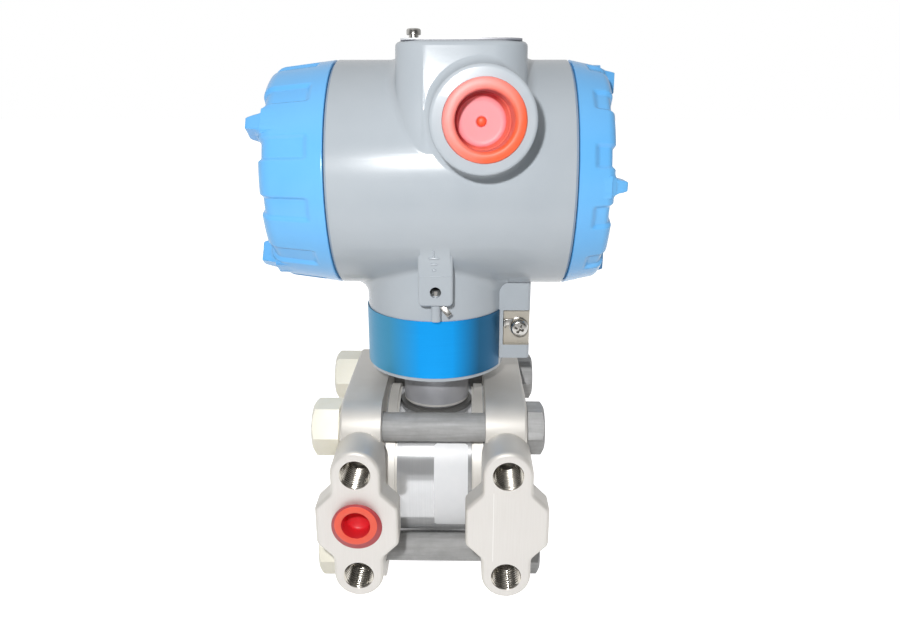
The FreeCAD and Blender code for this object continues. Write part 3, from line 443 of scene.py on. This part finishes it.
# Behind the rim's front the side is painted a darker crimson, as painted shade, and the cup a clear deep
# red. The two are told apart by the distance from the middle of the leaning rim, 0.8 mm over the port's axis.
split = add(tree, "ShaderNodeSeparateXYZ", {0: place})
behind = add(tree, "ShaderNodeMapRange",
             {"Value": split.outputs["Y"], "From Min": -2.55 * MM, "From Max": -2.35 * MM})
flat = add(tree, "ShaderNodeVectorMath", {0: place, 1: (1, 0, 1)}, operation="MULTIPLY")
reach = add(tree, "ShaderNodeVectorMath", {0: flat.outputs[0], 1: (-PORTS_APART / 2 * MM, 0, 0.8 * MM)},
            operation="DISTANCE")
outer = add(tree, "ShaderNodeMath", {0: reach.outputs["Value"], 1: 6.5 * MM}, operation="GREATER_THAN")
inner = add(tree, "ShaderNodeMix", {0: outer.outputs[0], 6: linear("#e42a35"), 7: linear("#c0343e")},
            data_type="RGBA")
tone = add(tree, "ShaderNodeMix", {0: behind.outputs[0], 6: tone.outputs[2], 7: inner.outputs[2]},
           data_type="RGBA")
tree.links.new(tone.outputs[2], shader.inputs["Base Color"])
bump = add(tree, "ShaderNodeBump", {"Height": wax.outputs[0], "Strength": 0.3, "Distance": 0.05 * MM})
tree.links.new(bump.outputs[0], shader.inputs["Normal"])
mesh = turned(lambda turn: port_rows, 96, "Y", 50)
# It was pushed in by hand and sits a little crooked: the soft rim leans up, by 2.1 mm at its front.
for vert in mesh.vertices:
    if vert.co.y < 0:
        proud = -vert.co.y / (lip * MM)
        vert.co.z += lean * MM * proud
mesh.transform(Matrix.Translation((-PORTS_APART / 2 * MM, 0, 0)))
show(placed("process_plug_moulded", mesh), "meter", red, "red_plug", "process_plug")


# Neck seal: a black nitrile ring in the header tube's groove, which keeps water out of the housing neck.
# Nitrile rubber: matt black with a faint bloom.
rubber, tree, shader, place = finish_of("black_nitrile_rubber", Roughness=0.7)
bloom = add(tree, "ShaderNodeTexNoise", {"Vector": place, "Scale": 1 / (2 * MM), "Detail": 4.0})
tone = add(tree, "ShaderNodeMix", {0: bloom.outputs[0], 6: linear("#161616"), 7: linear("#2b2b2b")},
           data_type="RGBA")
tree.links.new(tone.outputs[2], shader.inputs["Base Color"])
show(smooth_copy("neck_seal", "neck_seal_ring"), "meter", rubber, "seal_rubber", "neck_seal")


# Housing: one aluminium casting with the barrel, the neck, the conduit bosses, the hub and two lugs, painted
# grey all over. The notch in the right-hand block is left bare for the ground screw.
# Epoxy paint on a casting: smooth pale grey with a soft gloss and an orange peel of about 1.5 mm.
grey, tree, shader, place = finish_of("grey_epoxy_on_casting", IOR=1.5)
drift = add(tree, "ShaderNodeTexNoise", {"Vector": place, "Scale": 1 / (18 * MM), "Detail": 3.0})
paint = add(tree, "ShaderNodeMix", {0: drift.outputs[0], 6: linear("#b0b8bf"), 7: linear("#bbc2c8")},
            data_type="RGBA")
split = add(tree, "ShaderNodeSeparateXYZ", {0: place})
# Bare aluminium shows inside the notch, between these limits in mm.
bare = 1.0
for along, limit, test in (("X", 26.3, "GREATER_THAN"), ("Z", 54.1, "GREATER_THAN"), ("Z", 68.4, "LESS_THAN"),
                           ("Y", 46.2, "LESS_THAN"), ("Y", 43.6, "GREATER_THAN")):
    within = add(tree, "ShaderNodeMath", {0: split.outputs[along], 1: limit * MM}, operation=test)
    bare = add(tree, "ShaderNodeMath", {0: within.outputs[0], 1: bare}, operation="MULTIPLY").outputs[0]
tone = add(tree, "ShaderNodeMix", {0: bare, 6: paint.outputs[2], 7: linear("#c2bcb0")}, data_type="RGBA")
tree.links.new(tone.outputs[2], shader.inputs["Base Color"])
gloss = add(tree, "ShaderNodeMapRange", {"Value": drift.outputs[0], "To Min": 0.2, "To Max": 0.27})
tree.links.new(gloss.outputs[0], shader.inputs["Roughness"])
peel = add(tree, "ShaderNodeTexNoise", {"Vector": place, "Scale": 1 / (1.5 * MM), "Detail": 2.0})
bump = add(tree, "ShaderNodeBump", {"Height": peel.outputs[0], "Strength": 0.35, "Distance": 0.02 * MM})
tree.links.new(bump.outputs[0], shader.inputs["Normal"])


AXIS_Z = 119.3


def drafted(piece):
    """Lean the hub's front back by 5 degrees above the barrel, as the casting's draft does."""
    barrel, foot, front, back, draft = 42.5, 130, 11, 26, 0.085
    ease_back, ease_up = 3, 6
    for vert in piece.data.vertices:
        spot = vert.co / MM
        clear = math.hypot(spot.y - AXIS_Y, spot.z - AXIS_Z) - barrel
        if clear > 0 and spot.z > foot and front < spot.y < back:
            share = min(1.0, (spot.y - front) / ease_back) * min(1.0, clear / ease_up)
            vert.co.y += share * (spot.z - foot) * draft * MM
    return piece


show(drafted(smooth_copy("housing", "housing_casting", 30)), "housing", grey, "grey_paint", "housing")


# Earth mark: a plain raised earth sign on the front of the ground lug, with the mould's parting line below
# it as a low ridge. Both are cast and painted with the housing.
def block(shape, low, high, soft):
    """A box between two corners in mm, its edges rounded."""
    size = [(high[side] - low[side]) * MM for side in range(3)]
    middle = [(high[side] + low[side]) / 2 * MM for side in range(3)]
    made = bmesh.ops.create_cube(shape, size=1.0, matrix=Matrix.LocRotScale(middle, None, size))["verts"]
    edges = list({edge for vert in made for edge in vert.link_edges})
    bmesh.ops.bevel(shape, geom=edges, offset=soft * MM, segments=3, profile=0.5, affect="EDGES")


shape = bmesh.new()
mark_x, proud, sunk = 0.6, 0.42, 0.4
# The lug runs out to the barrel in an arc, of this radius and middle, that starts at this height.
arc, arc_middle, arc_foot = 18, 2.5, 89.83
# Four short pieces make the stem, and three bars get shorter under it.
for wide, low, high in ((0.8, 96.6, 97.4), (0.8, 95.9, 96.8), (0.8, 95.2, 96.1), (0.8, 94.4, 95.4),
                        (3.8, 93.7, 94.5), (2.5, 91.5, 92.3), (1.4, 89.4, 90.2)):
    skin = arc_middle + math.sqrt(arc ** 2 - max(0.0, (low + high) / 2 - arc_foot) ** 2)
    block(shape, (mark_x - wide / 2, skin - proud, low), (mark_x + wide / 2, skin + sunk, high), soft=0.36)
block(shape, (-4.8, 20.38, 87.3), (6.8, 20.8, 87.6), soft=0.1)
mesh = meshed("earth_mark", shape)
show(placed("earth_mark", mesh), "housing", grey, "grey_paint")


# Name band: thin blue-coated sheet wrapped round the front of the neck and stuck down, with nothing on it.
# Coated aluminium foil: a clear, cold blue with a metallic glow; its dimming towards the sides is painted
# shade.
band, tree, shader, place = finish_of("blue_coated_aluminium_foil", Metallic=0.6, Specular_IOR_Level=0.25)
rolled = add(tree, "ShaderNodeMapping",
             {"Vector": place, "Scale": (1 / (30 * MM), 1 / (30 * MM), 1 / (0.6 * MM))})
lines = add(tree, "ShaderNodeTexNoise", {"Vector": rolled.outputs[0], "Scale": 1.0, "Detail": 3.0})
tone = add(tree, "ShaderNodeMix", {0: lines.outputs[0], 6: linear("#0a98ea"), 7: linear("#10a4f2")},
           data_type="RGBA")
# Painted shade: the colour darkens towards both ends of the strip, more on the right, where the foil turns
# away.
split = add(tree, "ShaderNodeSeparateXYZ", {0: place})
left = add(tree, "ShaderNodeMapRange",
           {"Value": split.outputs["X"], "From Min": -5 * MM, "From Max": -17 * MM})
right = add(tree, "ShaderNodeMapRange",
            {"Value": split.outputs["X"], "From Min": 7 * MM, "From Max": 17 * MM})
tone = add(tree, "ShaderNodeMix", {0: left.outputs[0], 6: tone.outputs[2], 7: linear("#3f8cb0")},
           data_type="RGBA")
tone = add(tree, "ShaderNodeMix", {0: right.outputs[0], 6: tone.outputs[2], 7: linear("#1a5a80")},
           data_type="RGBA")
tree.links.new(tone.outputs[2], shader.inputs["Base Color"])
gloss = add(tree, "ShaderNodeMapRange", {"Value": lines.outputs[0], "To Min": 0.34, "To Max": 0.46})
tree.links.new(gloss.outputs[0], shader.inputs["Roughness"])
show(smooth_copy("name_band", "name_band_foil"), "housing", band, "blue_band", "name_band")


# Top plate and small fasteners: a thin painted sheet over the hub with one screw, the clamp screw and its
# lock tab under the lug, and the ground screw with its clip in the notch. All the screws are stainless.
# Painted sheet: pale, partly as painted reflection of the white surround on its edge, greyer at its right end
# as painted shade, with a painted shadow of the gap under it as a dark line along the top of the hub.
sheet, tree, shader, place = finish_of("grey_painted_steel_sheet", Roughness=0.4)
mottle = add(tree, "ShaderNodeTexNoise", {"Vector": place, "Scale": 1 / (6 * MM), "Detail": 3.0})
tone = add(tree, "ShaderNodeMix", {0: mottle.outputs[0], 6: linear("#e6e8ec"), 7: linear("#f0f2f5")},
           data_type="RGBA")
split = add(tree, "ShaderNodeSeparateXYZ", {0: place})
# Painted shade: greyer towards the right end.
painted_shade_end = add(tree, "ShaderNodeMapRange",
           {"Value": split.outputs["X"], "From Min": 14 * MM, "From Max": 22 * MM})
tone = add(tree, "ShaderNodeMix", {0: painted_shade_end.outputs[0], 6: tone.outputs[2], 7: linear("#9a9ca4")},
           data_type="RGBA")
# Painted shadow: a dark band over the sheet's lowest 0.3 mm, where the gap under it lies.
painted_gap_shadow = add(tree, "ShaderNodeMath", {0: split.outputs["Z"], 1: 165.3 * MM}, operation="LESS_THAN")
tone = add(tree, "ShaderNodeMix", {0: painted_gap_shadow.outputs[0], 6: tone.outputs[2], 7: linear("#6a6c75")},
           data_type="RGBA")
tree.links.new(tone.outputs[2], shader.inputs["Base Color"])
show(drafted(smooth_copy("top_plate", "top_plate_sheet")), "housing", sheet, "grey_paint", "top_plate")
# Stainless screw: cold-headed and bright, almost a mirror on its flats, with a little grime in the corners.
bright, tree, shader, place = finish_of("bright_stainless_screw", Metallic=1.0)
grime = add(tree, "ShaderNodeTexNoise", {"Vector": place, "Scale": 1 / (1.2 * MM), "Detail": 4.0})
tone = add(tree, "ShaderNodeMix", {0: grime.outputs[0], 6: linear("#8e8b86"), 7: linear("#dcdad6")},
           data_type="RGBA")
tree.links.new(tone.outputs[2], shader.inputs["Base Color"])
gloss = add(tree, "ShaderNodeMapRange", {"Value": grime.outputs[0], "To Min": 0.14, "To Max": 0.32})
tree.links.new(gloss.outputs[0], shader.inputs["Roughness"])
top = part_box("top_screw")[1].z / MM
head_rows = [(165.8, 0), (165.8, 2.6), (166.3, 2.6), (166.4, 2.5), (166.4, 1.6), (167.3, 1.6), (167.3, 2.2),
             (167.5, 2.4), (top - 0.6, 2.4), (top - 0.2, 2.15), (top, 1.5), (top, 0)]
mesh = turned(lambda turn: head_rows, 64, "Z")
mesh.transform(Matrix.Translation((-6.1 * MM, 31.5 * MM, 0)))
show(placed("top_screw_turned", mesh), "housing", bright, "small_screw", "top_screw")
show(smooth_copy("clamp_screw", "clamp_screw_painted"), "housing", grey, "small_screw", "clamp_screw")
# The clamp screw's upper end shows bare and bright in the wire hole.
end_rows = [(80.0, 0), (80.0, 1.75), (81.7, 1.75), (82.0, 1.5), (82.1, 0)]
mesh = turned(lambda turn: end_rows, 48, "Z")
mesh.transform(Matrix.Translation((1 * MM, 23.5 * MM, 0)))
show(placed("clamp_screw_end", mesh), "housing", bright, "small_screw")
shape = bmesh.new()
block(shape, (-2.4, -0.25, -1.1), (2.4, 0.25, 1.1), soft=0.15)
tilt = Matrix.Rotation(math.radians(-15), 4, "X") @ Matrix.Rotation(math.radians(52), 4, "Y")
under_lug = Matrix.Translation(Vector((4.5, 23.4, 74.2)) * MM)
bmesh.ops.transform(shape, matrix=under_lug @ tilt, verts=shape.verts)
mesh = meshed("lock_tab_bent", shape)
show(placed("lock_tab_bent", mesh), "housing", bright, "small_screw", "lock_tab")


def eased(value, low, high):
    part = max(0.0, min(1.0, (value - low) / (high - low)))
    return part * part * (3 - 2 * part)


def pan_head(turn):
    """The ground screw at one angle: a round washer and a pan head with a cross recess of 3.4 mm."""
    rows = [(46.1, 0), (46.1, 3.7), (45.3, 3.75), (45.2, 3.6), (45.2, 3.4), (43.2, 3.4), (42.6, 3.2),
            (42.15, 2.75)]
    crown, dome, recess, clock = 41.9, 0.05, 1.3, 0.4
    for radius in (2.2, 1.9, 1.75, 1.6, 1.4, 1.1, 0.8, 0.5, 0.25, 0.0):
        across = radius * min(abs(math.sin(turn + clock)), abs(math.cos(turn + clock)))
        sunk = (1 - eased(across, 0.3, 0.5)) * (1 - eased(radius, 1.5, 1.9))
        rows.append((crown + dome * radius + recess * sunk, radius))
    return rows


screw = turned(pan_head, 96, "Y")
screw.transform(Matrix.Translation((32.6 * MM, 0, 61.25 * MM)))
shape = bmesh.new()
shape.from_mesh(screw)
block(shape, (26.7, 45.3, 61.4), (31.5, 46.05, 64.2), soft=0.25)
block(shape, (26.7, 43.7, 61.4), (27.5, 46.05, 64.2), soft=0.3)
shape.to_mesh(screw)
shape.free()
shade_by_angle(screw, 35)
show(placed("ground_screw_and_clip", screw), "housing", bright, "small_screw", "ground_screw")


# Conduit plugs: push-in cups of soft coral polyethylene that close the two conduit entries in transport.
# Each has a flat rim, a cup with a small sprue nub on its floor, and faint mould rings low in the cup.
plug_x, plug_z = 16.5, 141.3
cup_rows = [(12.0, 0), (12.0, 9.9), (11.5, 10.4), (0.0, 10.4), (0.0, 12.5), (-0.15, 12.65), (-0.7, 12.5),
            (-1.0, 12.05), (-1.0, 10.2), (-0.85, 9.6), (-0.3, 9.2), (0.6, 9.0), (6.4, 8.75), (6.6, 8.45),
            (7.6, 8.35), (7.8, 8.1), (8.8, 8.0), (9.0, 7.8), (9.8, 7.75), (10.4, 7.5), (10.75, 6.9),
            (10.8, 6.0), (10.8, 1.8), (10.4, 1.65), (9.4, 1.4), (9.1, 0.9), (9.0, 0)]
# Soft polyethylene, paler: milky coral, the light sinking in a little; its lit and shaded sides are painted
# into the colour.
coral, tree, shader, place = finish_of("moulded_coral_polyethylene", Roughness=0.45, Subsurface_Weight=0.1,
                                       Subsurface_Scale=0.003, IOR=1.51)
shader.inputs["Subsurface Radius"].default_value = (1.0, 0.35, 0.22)
wax = add(tree, "ShaderNodeTexNoise", {"Vector": place, "Scale": 1 / (5 * MM), "Detail": 4.0})
# The rim is painted milky pink at its upper left, as a painted highlight, and orange at its lower right, as
# a painted glow. The slant is measured along that direction and is -77.7 mm on the plug's axis; the wax
# noise shifts it by up to 5 mm.
slant = add(tree, "ShaderNodeVectorMath", {0: place, 1: (0.77, 0, -0.64)}, operation="DOT_PRODUCT")
drift = add(tree, "ShaderNodeMath", {0: wax.outputs[0], 1: 5 * MM, 2: slant.outputs["Value"]},
            operation="MULTIPLY_ADD")
across = add(tree, "ShaderNodeMapRange",
             {"Value": drift.outputs[0], "From Min": -84 * MM, "From Max": -66 * MM})
tone = add(tree, "ShaderNodeMix", {0: across.outputs[0], 6: linear("#f7938c"), 7: linear("#f4623a")},
           data_type="RGBA")
# The cup's wall is painted deep red at the upper left, as painted shadow under the rim, and coral on the lit
# side.
split = add(tree, "ShaderNodeSeparateXYZ", {0: place})
off = add(tree, "ShaderNodeMath", {0: split.outputs["Y"], 1: AXIS_Y * MM}, operation="SUBTRACT")
off = add(tree, "ShaderNodeMath", {0: off.outputs[0]}, operation="ABSOLUTE")
thick = add(tree, "ShaderNodeMapRange",
            {"Value": slant.outputs["Value"], "From Min": -79 * MM, "From Max": -74 * MM})
wall = add(tree, "ShaderNodeMix", {0: thick.outputs[0], 6: linear("#a2161d"), 7: linear("#ee7461")},
           data_type="RGBA")
deep = add(tree, "ShaderNodeMapRange",
           {"Value": off.outputs[0], "From Min": 56.4 * MM, "From Max": 54.6 * MM})
tone = add(tree, "ShaderNodeMix", {0: deep.outputs[0], 6: tone.outputs[2], 7: wall.outputs[2]},
           data_type="RGBA")
# The nub is solid and orange; the floor round it is a thin film, painted pale and milky, partly as painted
# sheen.
flat = add(tree, "ShaderNodeVectorMath", {0: place, 1: (1, 0, 1)}, operation="MULTIPLY")
reach = add(tree, "ShaderNodeVectorMath", {0: flat.outputs[0], 1: (plug_x * MM, 0, plug_z * MM)},
            operation="DISTANCE")
nub = add(tree, "ShaderNodeMath", {0: reach.outputs["Value"], 1: 3.6 * MM}, operation="LESS_THAN")
tone = add(tree, "ShaderNodeMix", {0: nub.outputs[0], 6: tone.outputs[2], 7: linear("#f0603c")},
           data_type="RGBA")
thin_film_and_sheen = add(tree, "ShaderNodeMapRange",
           {"Value": off.outputs[0], "From Min": 46.5 * MM, "From Max": 45.9 * MM})
tone = add(tree, "ShaderNodeMix", {0: thin_film_and_sheen.outputs[0], 6: tone.outputs[2], 7: linear("#ee969c")},
           data_type="RGBA")
tree.links.new(tone.outputs[2], shader.inputs["Base Color"])
bump = add(tree, "ShaderNodeBump", {"Height": wax.outputs[0], "Strength": 0.3, "Distance": 0.06 * MM})
tree.links.new(bump.outputs[0], shader.inputs["Normal"])
aside, lean_x, lean_z = 0.5, 0.085, 0.065
cup_reach, cup_deep, wall_start = 9.5, 11.2, 0.5
for node, mouth, facing in (("front_conduit_plug", -2.7, 1), ("rear_conduit_plug", 109.7, -1)):
    rows = [(mouth + facing * along, radius) for along, radius in cup_rows]
    mesh = turned(lambda turn: rows, 128, "Y", 50)
    # The rim and the cup stand a little to the right of the bore. The core that moulded the cup stood askew,
    # so the floor is off to the lower left.
    for vert in mesh.vertices:
        depth = (vert.co.y / MM - mouth) * facing
        inside = math.hypot(vert.co.x, vert.co.z) < cup_reach * MM and depth < cup_deep
        if depth < -0.05 or inside:
            vert.co.x += aside * MM
        if inside and depth > wall_start:
            vert.co.x -= lean_x * depth * MM
            vert.co.z -= lean_z * depth * MM
    mesh.transform(Matrix.Translation((plug_x * MM, 0, plug_z * MM)))
    show(placed(node + "_moulded", mesh), "housing", coral, "red_plug", node)


# Wiring and electronics: behind the right cap a black terminal block with three screws, behind the left cap
# the potted electronics module with two, all seen only once a cap is off.
# Moulded phenolic: dark, dry and slightly speckled.
phenolic, tree, shader, place = finish_of("black_phenolic_moulding", Roughness=0.5)
speck = add(tree, "ShaderNodeTexNoise", {"Vector": place, "Scale": 1 / (0.8 * MM), "Detail": 3.0})
tone = add(tree, "ShaderNodeMix", {0: speck.outputs[0], 6: linear("#1b1b1c"), 7: linear("#333334")},
           data_type="RGBA")
tree.links.new(tone.outputs[2], shader.inputs["Base Color"])
for node in ("terminal_block", "electronics_module"):
    show(smooth_copy(node, node + "_moulding"), "housing", phenolic, "black_moulding", node)
for node in ("terminal_screws", "module_screws"):
    show(smooth_copy(node, node + "_steel"), "housing", bright, "small_screw", node)


# Caps: two cast aluminium screw caps, painted blue, each with a flat rubber ring behind its rim. Twelve
# shallow grip slots run over the edge and four lugs on the end take a wrench; all edges are soft with paint.
# Epoxy paint on a casting again, in a clear sky blue.
blue, tree, shader, place = finish_of("blue_epoxy_on_casting", IOR=1.5)
drift = add(tree, "ShaderNodeTexNoise", {"Vector": place, "Scale": 1 / (18 * MM), "Detail": 3.0})
tone = add(tree, "ShaderNodeMix", {0: drift.outputs[0], 6: linear("#6abdff"), 7: linear("#78c6ff")},
           data_type="RGBA")
tree.links.new(tone.outputs[2], shader.inputs["Base Color"])
gloss = add(tree, "ShaderNodeMapRange", {"Value": drift.outputs[0], "To Min": 0.2, "To Max": 0.27})
tree.links.new(gloss.outputs[0], shader.inputs["Roughness"])
peel = add(tree, "ShaderNodeTexNoise", {"Vector": place, "Scale": 1 / (1.5 * MM), "Detail": 2.0})
bump = add(tree, "ShaderNodeBump", {"Height": peel.outputs[0], "Strength": 0.35, "Distance": 0.02 * MM})
tree.links.new(bump.outputs[0], shader.inputs["Normal"])


CAP_RADIUS = 40.9
SLOT_PITCH = 30
SLOT_DEPTH = 1.1


def cap_skin(length, taper, corner, lug_width, lug_tall, slot_start):
    """The rows of a cap's section at one angle, from its inner floor out over the rim to the end's middle."""
    lug_inset, lug_long, lug_root, flare = 0.8, 9.5, 1.5, 1.5
    wall_step, fine_step, fine_end = 0.8, 0.36, 20
    slope = taper / length
    lean = math.hypot(1, slope)
    arc_along = length - corner
    arc_radius = CAP_RADIUS - slope * arc_along - corner * lean
    tilt = math.atan(slope)
    inside = [(length - 4.5, 0), (length - 4.5, 30.4), (length - 5.0, 30.9), (-9.6, 30.9), (-10, 31.3),
              (-10, 34.4), (-9.5, 34.9), (0.4, 34.9), (0.4, 36.0), (2.4, 36.0), (2.4, 38.2), (0.4, 38.2),
              (0.4, 40.68), (0.45, 40.78), (0.55, 40.84), (1.0, CAP_RADIUS - slope)]
    # Each point of the skin has its outward direction, along which the slots are cut.
    skin = []
    stop = arc_along + corner * math.sin(tilt)
    marks = [1.4, 2.2, 3.2, 4.2]
    marks += [slot_start + 0.42 * step for step in range(-4, 9)]
    marks = [mark for mark in marks if mark < stop - 0.3]
    count = max(3, int((stop - marks[-1]) / wall_step))
    marks += [marks[-1] + (stop - marks[-1]) * step / count for step in range(1, count)]
    for along in sorted(marks):
        skin.append((along, CAP_RADIUS - slope * along, slope / lean, 1 / lean))
    round_steps = 24
    for step in range(round_steps + 1):
        swing = tilt + (math.pi / 2 - tilt) * step / round_steps
        skin.append((arc_along + corner * math.sin(swing), arc_radius + corner * math.cos(swing),
                     math.sin(swing), math.cos(swing)))
    flat = arc_radius - fine_end
    count = int(flat / fine_step)
    skin += [(length, arc_radius - flat * step / count, 1, 0) for step in range(1, count + 1)]
    skin += [(length, radius, 1, 0) for radius in (17, 13, 8, 3, 0)]
    outer = CAP_RADIUS - taper - lug_inset
    inner = outer - lug_long

    def rows(turn):
        made = list(inside)
        in_slot = abs((math.degrees(turn) % SLOT_PITCH) - SLOT_PITCH / 2)
        cut = 1 - eased(in_slot, 4.2, 6.6)
        swing = (turn + math.pi / 4) % (math.pi / 2) - math.pi / 4
        for along, radius, out_along, out_radius in skin:
            depth = SLOT_DEPTH * cut * eased(along, slot_start - 0.4, slot_start + 2.2)
            depth *= eased(radius, inner - 3.4, inner - 1.4)
            spot_along, spot_radius = along - depth * out_along, radius - depth * out_radius
            across = abs(radius * math.sin(swing)) - lug_width / 2
            out = max(radius * math.cos(swing) - outer, inner - radius * math.cos(swing))
            # The gap to the nearest lug's side is negative inside the lug; a small flare rounds its foot.
            gap = math.hypot(max(across, 0), max(out, 0)) + min(max(across, out), 0)
            if gap < flare and radius > 8:
                foot = 0.6 * (flare - math.sqrt(flare ** 2 - (flare - max(gap, 0)) ** 2))
                wall = length - lug_root + (lug_tall + lug_root) * (1 - eased(gap, -1.3, 0.35))
                spot_along = max(spot_along + foot, wall)
            made.append((spot_along, spot_radius))
        return made
    return rows


# The angles of the turn, in degrees, lie closer together at the slots' edges and over the lugs.
turns = {round(step * 2.0, 3) for step in range(180)}
for slot in range(360 // SLOT_PITCH):
    for edge in (9.7, 20.3):
        turns |= {round(slot * SLOT_PITCH + edge + 0.35 * step, 3) for step in range(-6, 7)}
for lug in range(4):
    for step in range(-26, 27):
        turns.add(round((lug * 90 + step * 0.5) % 360, 3))
turns = [math.radians(turn) for turn in sorted(turns)]
for node, side, seam, clock, sizes in (
        ("left_cap", -1, 35.1, -34, {"length": 23.2, "taper": 3.0, "corner": 5.6, "lug_width": 6.2}),
        ("right_cap", 1, 48.1, 0, {"length": 12.9, "taper": 2.6, "corner": 3.6, "lug_width": 5.4})):
    mesh = turned(cap_skin(**sizes, lug_tall=4.2, slot_start=5.4), turns, "X", 40)
    if side < 0:
        mesh.transform(Matrix.Scale(-1, 4, (1, 0, 0)))
        mesh.flip_normals()
    mesh.transform(Matrix.Rotation(math.radians(90 + clock), 4, "X"))
    mesh.transform(Matrix.Translation((side * seam * MM, AXIS_Y * MM, AXIS_Z * MM)))
    show(placed(node + "_painted", mesh), node, blue, "blue_paint", node)
for node, body in (("left_cap_seal", "left_seal"), ("right_cap_seal", "right_seal")):
    show(smooth_copy(node, node + "_ring"), body, rubber, "seal_rubber", node)


# Studio: a floor of white paper that fades into a white surround, one small lamp close to the camera, up
# and left of it, and the camera where the photo was taken from.
low = min(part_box(node)[0].z for node in ("process_head", "reference_head"))
bpy.ops.mesh.primitive_plane_add(size=8, location=(0, 0, low))
floor = bpy.context.object
floor.name = "studio_floor"
paper, tree, shader, place = finish_of("white_paper_floor", Roughness=0.9)
shader.inputs["Base Color"].default_value = linear("#d8d8d8")
shader.inputs["Specular IOR Level"].default_value = 0.0
far = add(tree, "ShaderNodeVectorMath", {0: place, 1: (0, 0.066, 0)}, operation="DISTANCE")
glow = add(tree, "ShaderNodeMapRange", {"Value": far.outputs["Value"], "From Min": 0.022, "From Max": 0.036},
           interpolation_type="SMOOTHSTEP")
path = add(tree, "ShaderNodeLightPath")
# In reflections the paper grows dim from 0.2 to 0.3 m in front of the part.
split = add(tree, "ShaderNodeSeparateXYZ", {0: place})
paper_end = add(tree, "ShaderNodeMapRange", {"Value": split.outputs["Y"], "From Min": -0.3, "From Max": -0.2,
                                             "To Min": 0.3, "To Max": 1.0})
seen = add(tree, "ShaderNodeMath", {0: path.outputs["Is Glossy Ray"], 1: path.outputs["Is Transmission Ray"]},
           operation="MAXIMUM")
seen = add(tree, "ShaderNodeMath", {0: seen.outputs[0], 1: paper_end.outputs[0]}, operation="MULTIPLY")
seen = add(tree, "ShaderNodeMath", {0: seen.outputs[0], 1: path.outputs["Is Camera Ray"]},
           operation="MAXIMUM")
lit = add(tree, "ShaderNodeMath", {0: glow.outputs[0], 1: seen.outputs[0]}, operation="MULTIPLY")
shader.inputs["Emission Color"].default_value = (1, 1, 1, 1)
tree.links.new(lit.outputs[0], shader.inputs["Emission Strength"])
floor.data.materials.append(paper)

world = bpy.data.worlds.new("white_surround")
world.use_nodes = True
bpy.context.scene.world = world
tree = world.node_tree
path = add(tree, "ShaderNodeLightPath")
seen = add(tree, "ShaderNodeMath", {0: path.outputs["Is Camera Ray"], 1: path.outputs["Is Glossy Ray"]},
           operation="MAXIMUM")
seen = add(tree, "ShaderNodeMath", {0: seen.outputs[0], 1: path.outputs["Is Transmission Ray"]},
           operation="MAXIMUM")
level = add(tree, "ShaderNodeMapRange", {"Value": seen.outputs[0], "To Min": 0.7, "To Max": 1.0})
# The room is dark behind the camera, bright at the back and overhead, and dimmer from left to right.
facing = add(tree, "ShaderNodeSeparateXYZ", {0: add(tree, "ShaderNodeTexCoord").outputs["Generated"]})
back = add(tree, "ShaderNodeMapRange", {"Value": facing.outputs["Y"], "From Min": -0.75, "From Max": 0.25,
                                        "To Min": 0.12, "To Max": 1.0}, interpolation_type="SMOOTHSTEP")
top = add(tree, "ShaderNodeMapRange", {"Value": facing.outputs["Z"], "From Min": 0.5, "From Max": 0.8,
                                       "To Min": 0.12, "To Max": 1.0}, interpolation_type="SMOOTHSTEP")
side = add(tree, "ShaderNodeMapRange", {"Value": facing.outputs["X"], "From Min": -1.0, "From Max": 1.0,
                                        "To Min": 1.0, "To Max": 0.55})
room = add(tree, "ShaderNodeMath", {0: back.outputs[0], 1: top.outputs[0]}, operation="MAXIMUM")
room = add(tree, "ShaderNodeMath", {0: room.outputs[0], 1: side.outputs[0]}, operation="MULTIPLY")
shown = add(tree, "ShaderNodeMath", {0: room.outputs[0], 1: path.outputs["Is Camera Ray"]},
            operation="MAXIMUM")
level = add(tree, "ShaderNodeMath", {0: level.outputs[0], 1: shown.outputs[0]}, operation="MULTIPLY")
tree.nodes["Background"].inputs["Color"].default_value = (1, 1, 1, 1)
tree.links.new(level.outputs[0], tree.nodes["Background"].inputs["Strength"])

lamp = bpy.data.lights.new("key_lamp", "AREA")
lamp.shape = "DISK"
lamp.energy = 0.6
lamp.size = 0.012
key = bpy.data.objects.new("key_lamp", lamp)
key.location = Vector((-20, -230, 193)) * MM
key.rotation_euler = (Vector((5, 53, 80)) * MM - key.location).to_track_quat("-Z", "Y").to_euler()
bpy.context.scene.collection.objects.link(key)

camera_data = bpy.data.cameras.new("photo_camera")
camera_data.sensor_fit = "HORIZONTAL"
camera_data.sensor_width = 36
focal_px, picture_px = 737.55, 900
camera_data.lens = camera_data.sensor_width * focal_px / picture_px
camera_data.clip_start = 0.01
camera = bpy.data.objects.new("photo_camera", camera_data)
camera.location = Vector((10.47, -229.63, 151.52)) * MM
camera.rotation_euler = Euler((math.radians(90 - 17.33), 0, math.radians(0.99)))
bpy.context.scene.collection.objects.link(camera)
bpy.context.scene.camera = camera
bpy.context.scene.view_settings.view_transform = "Standard"
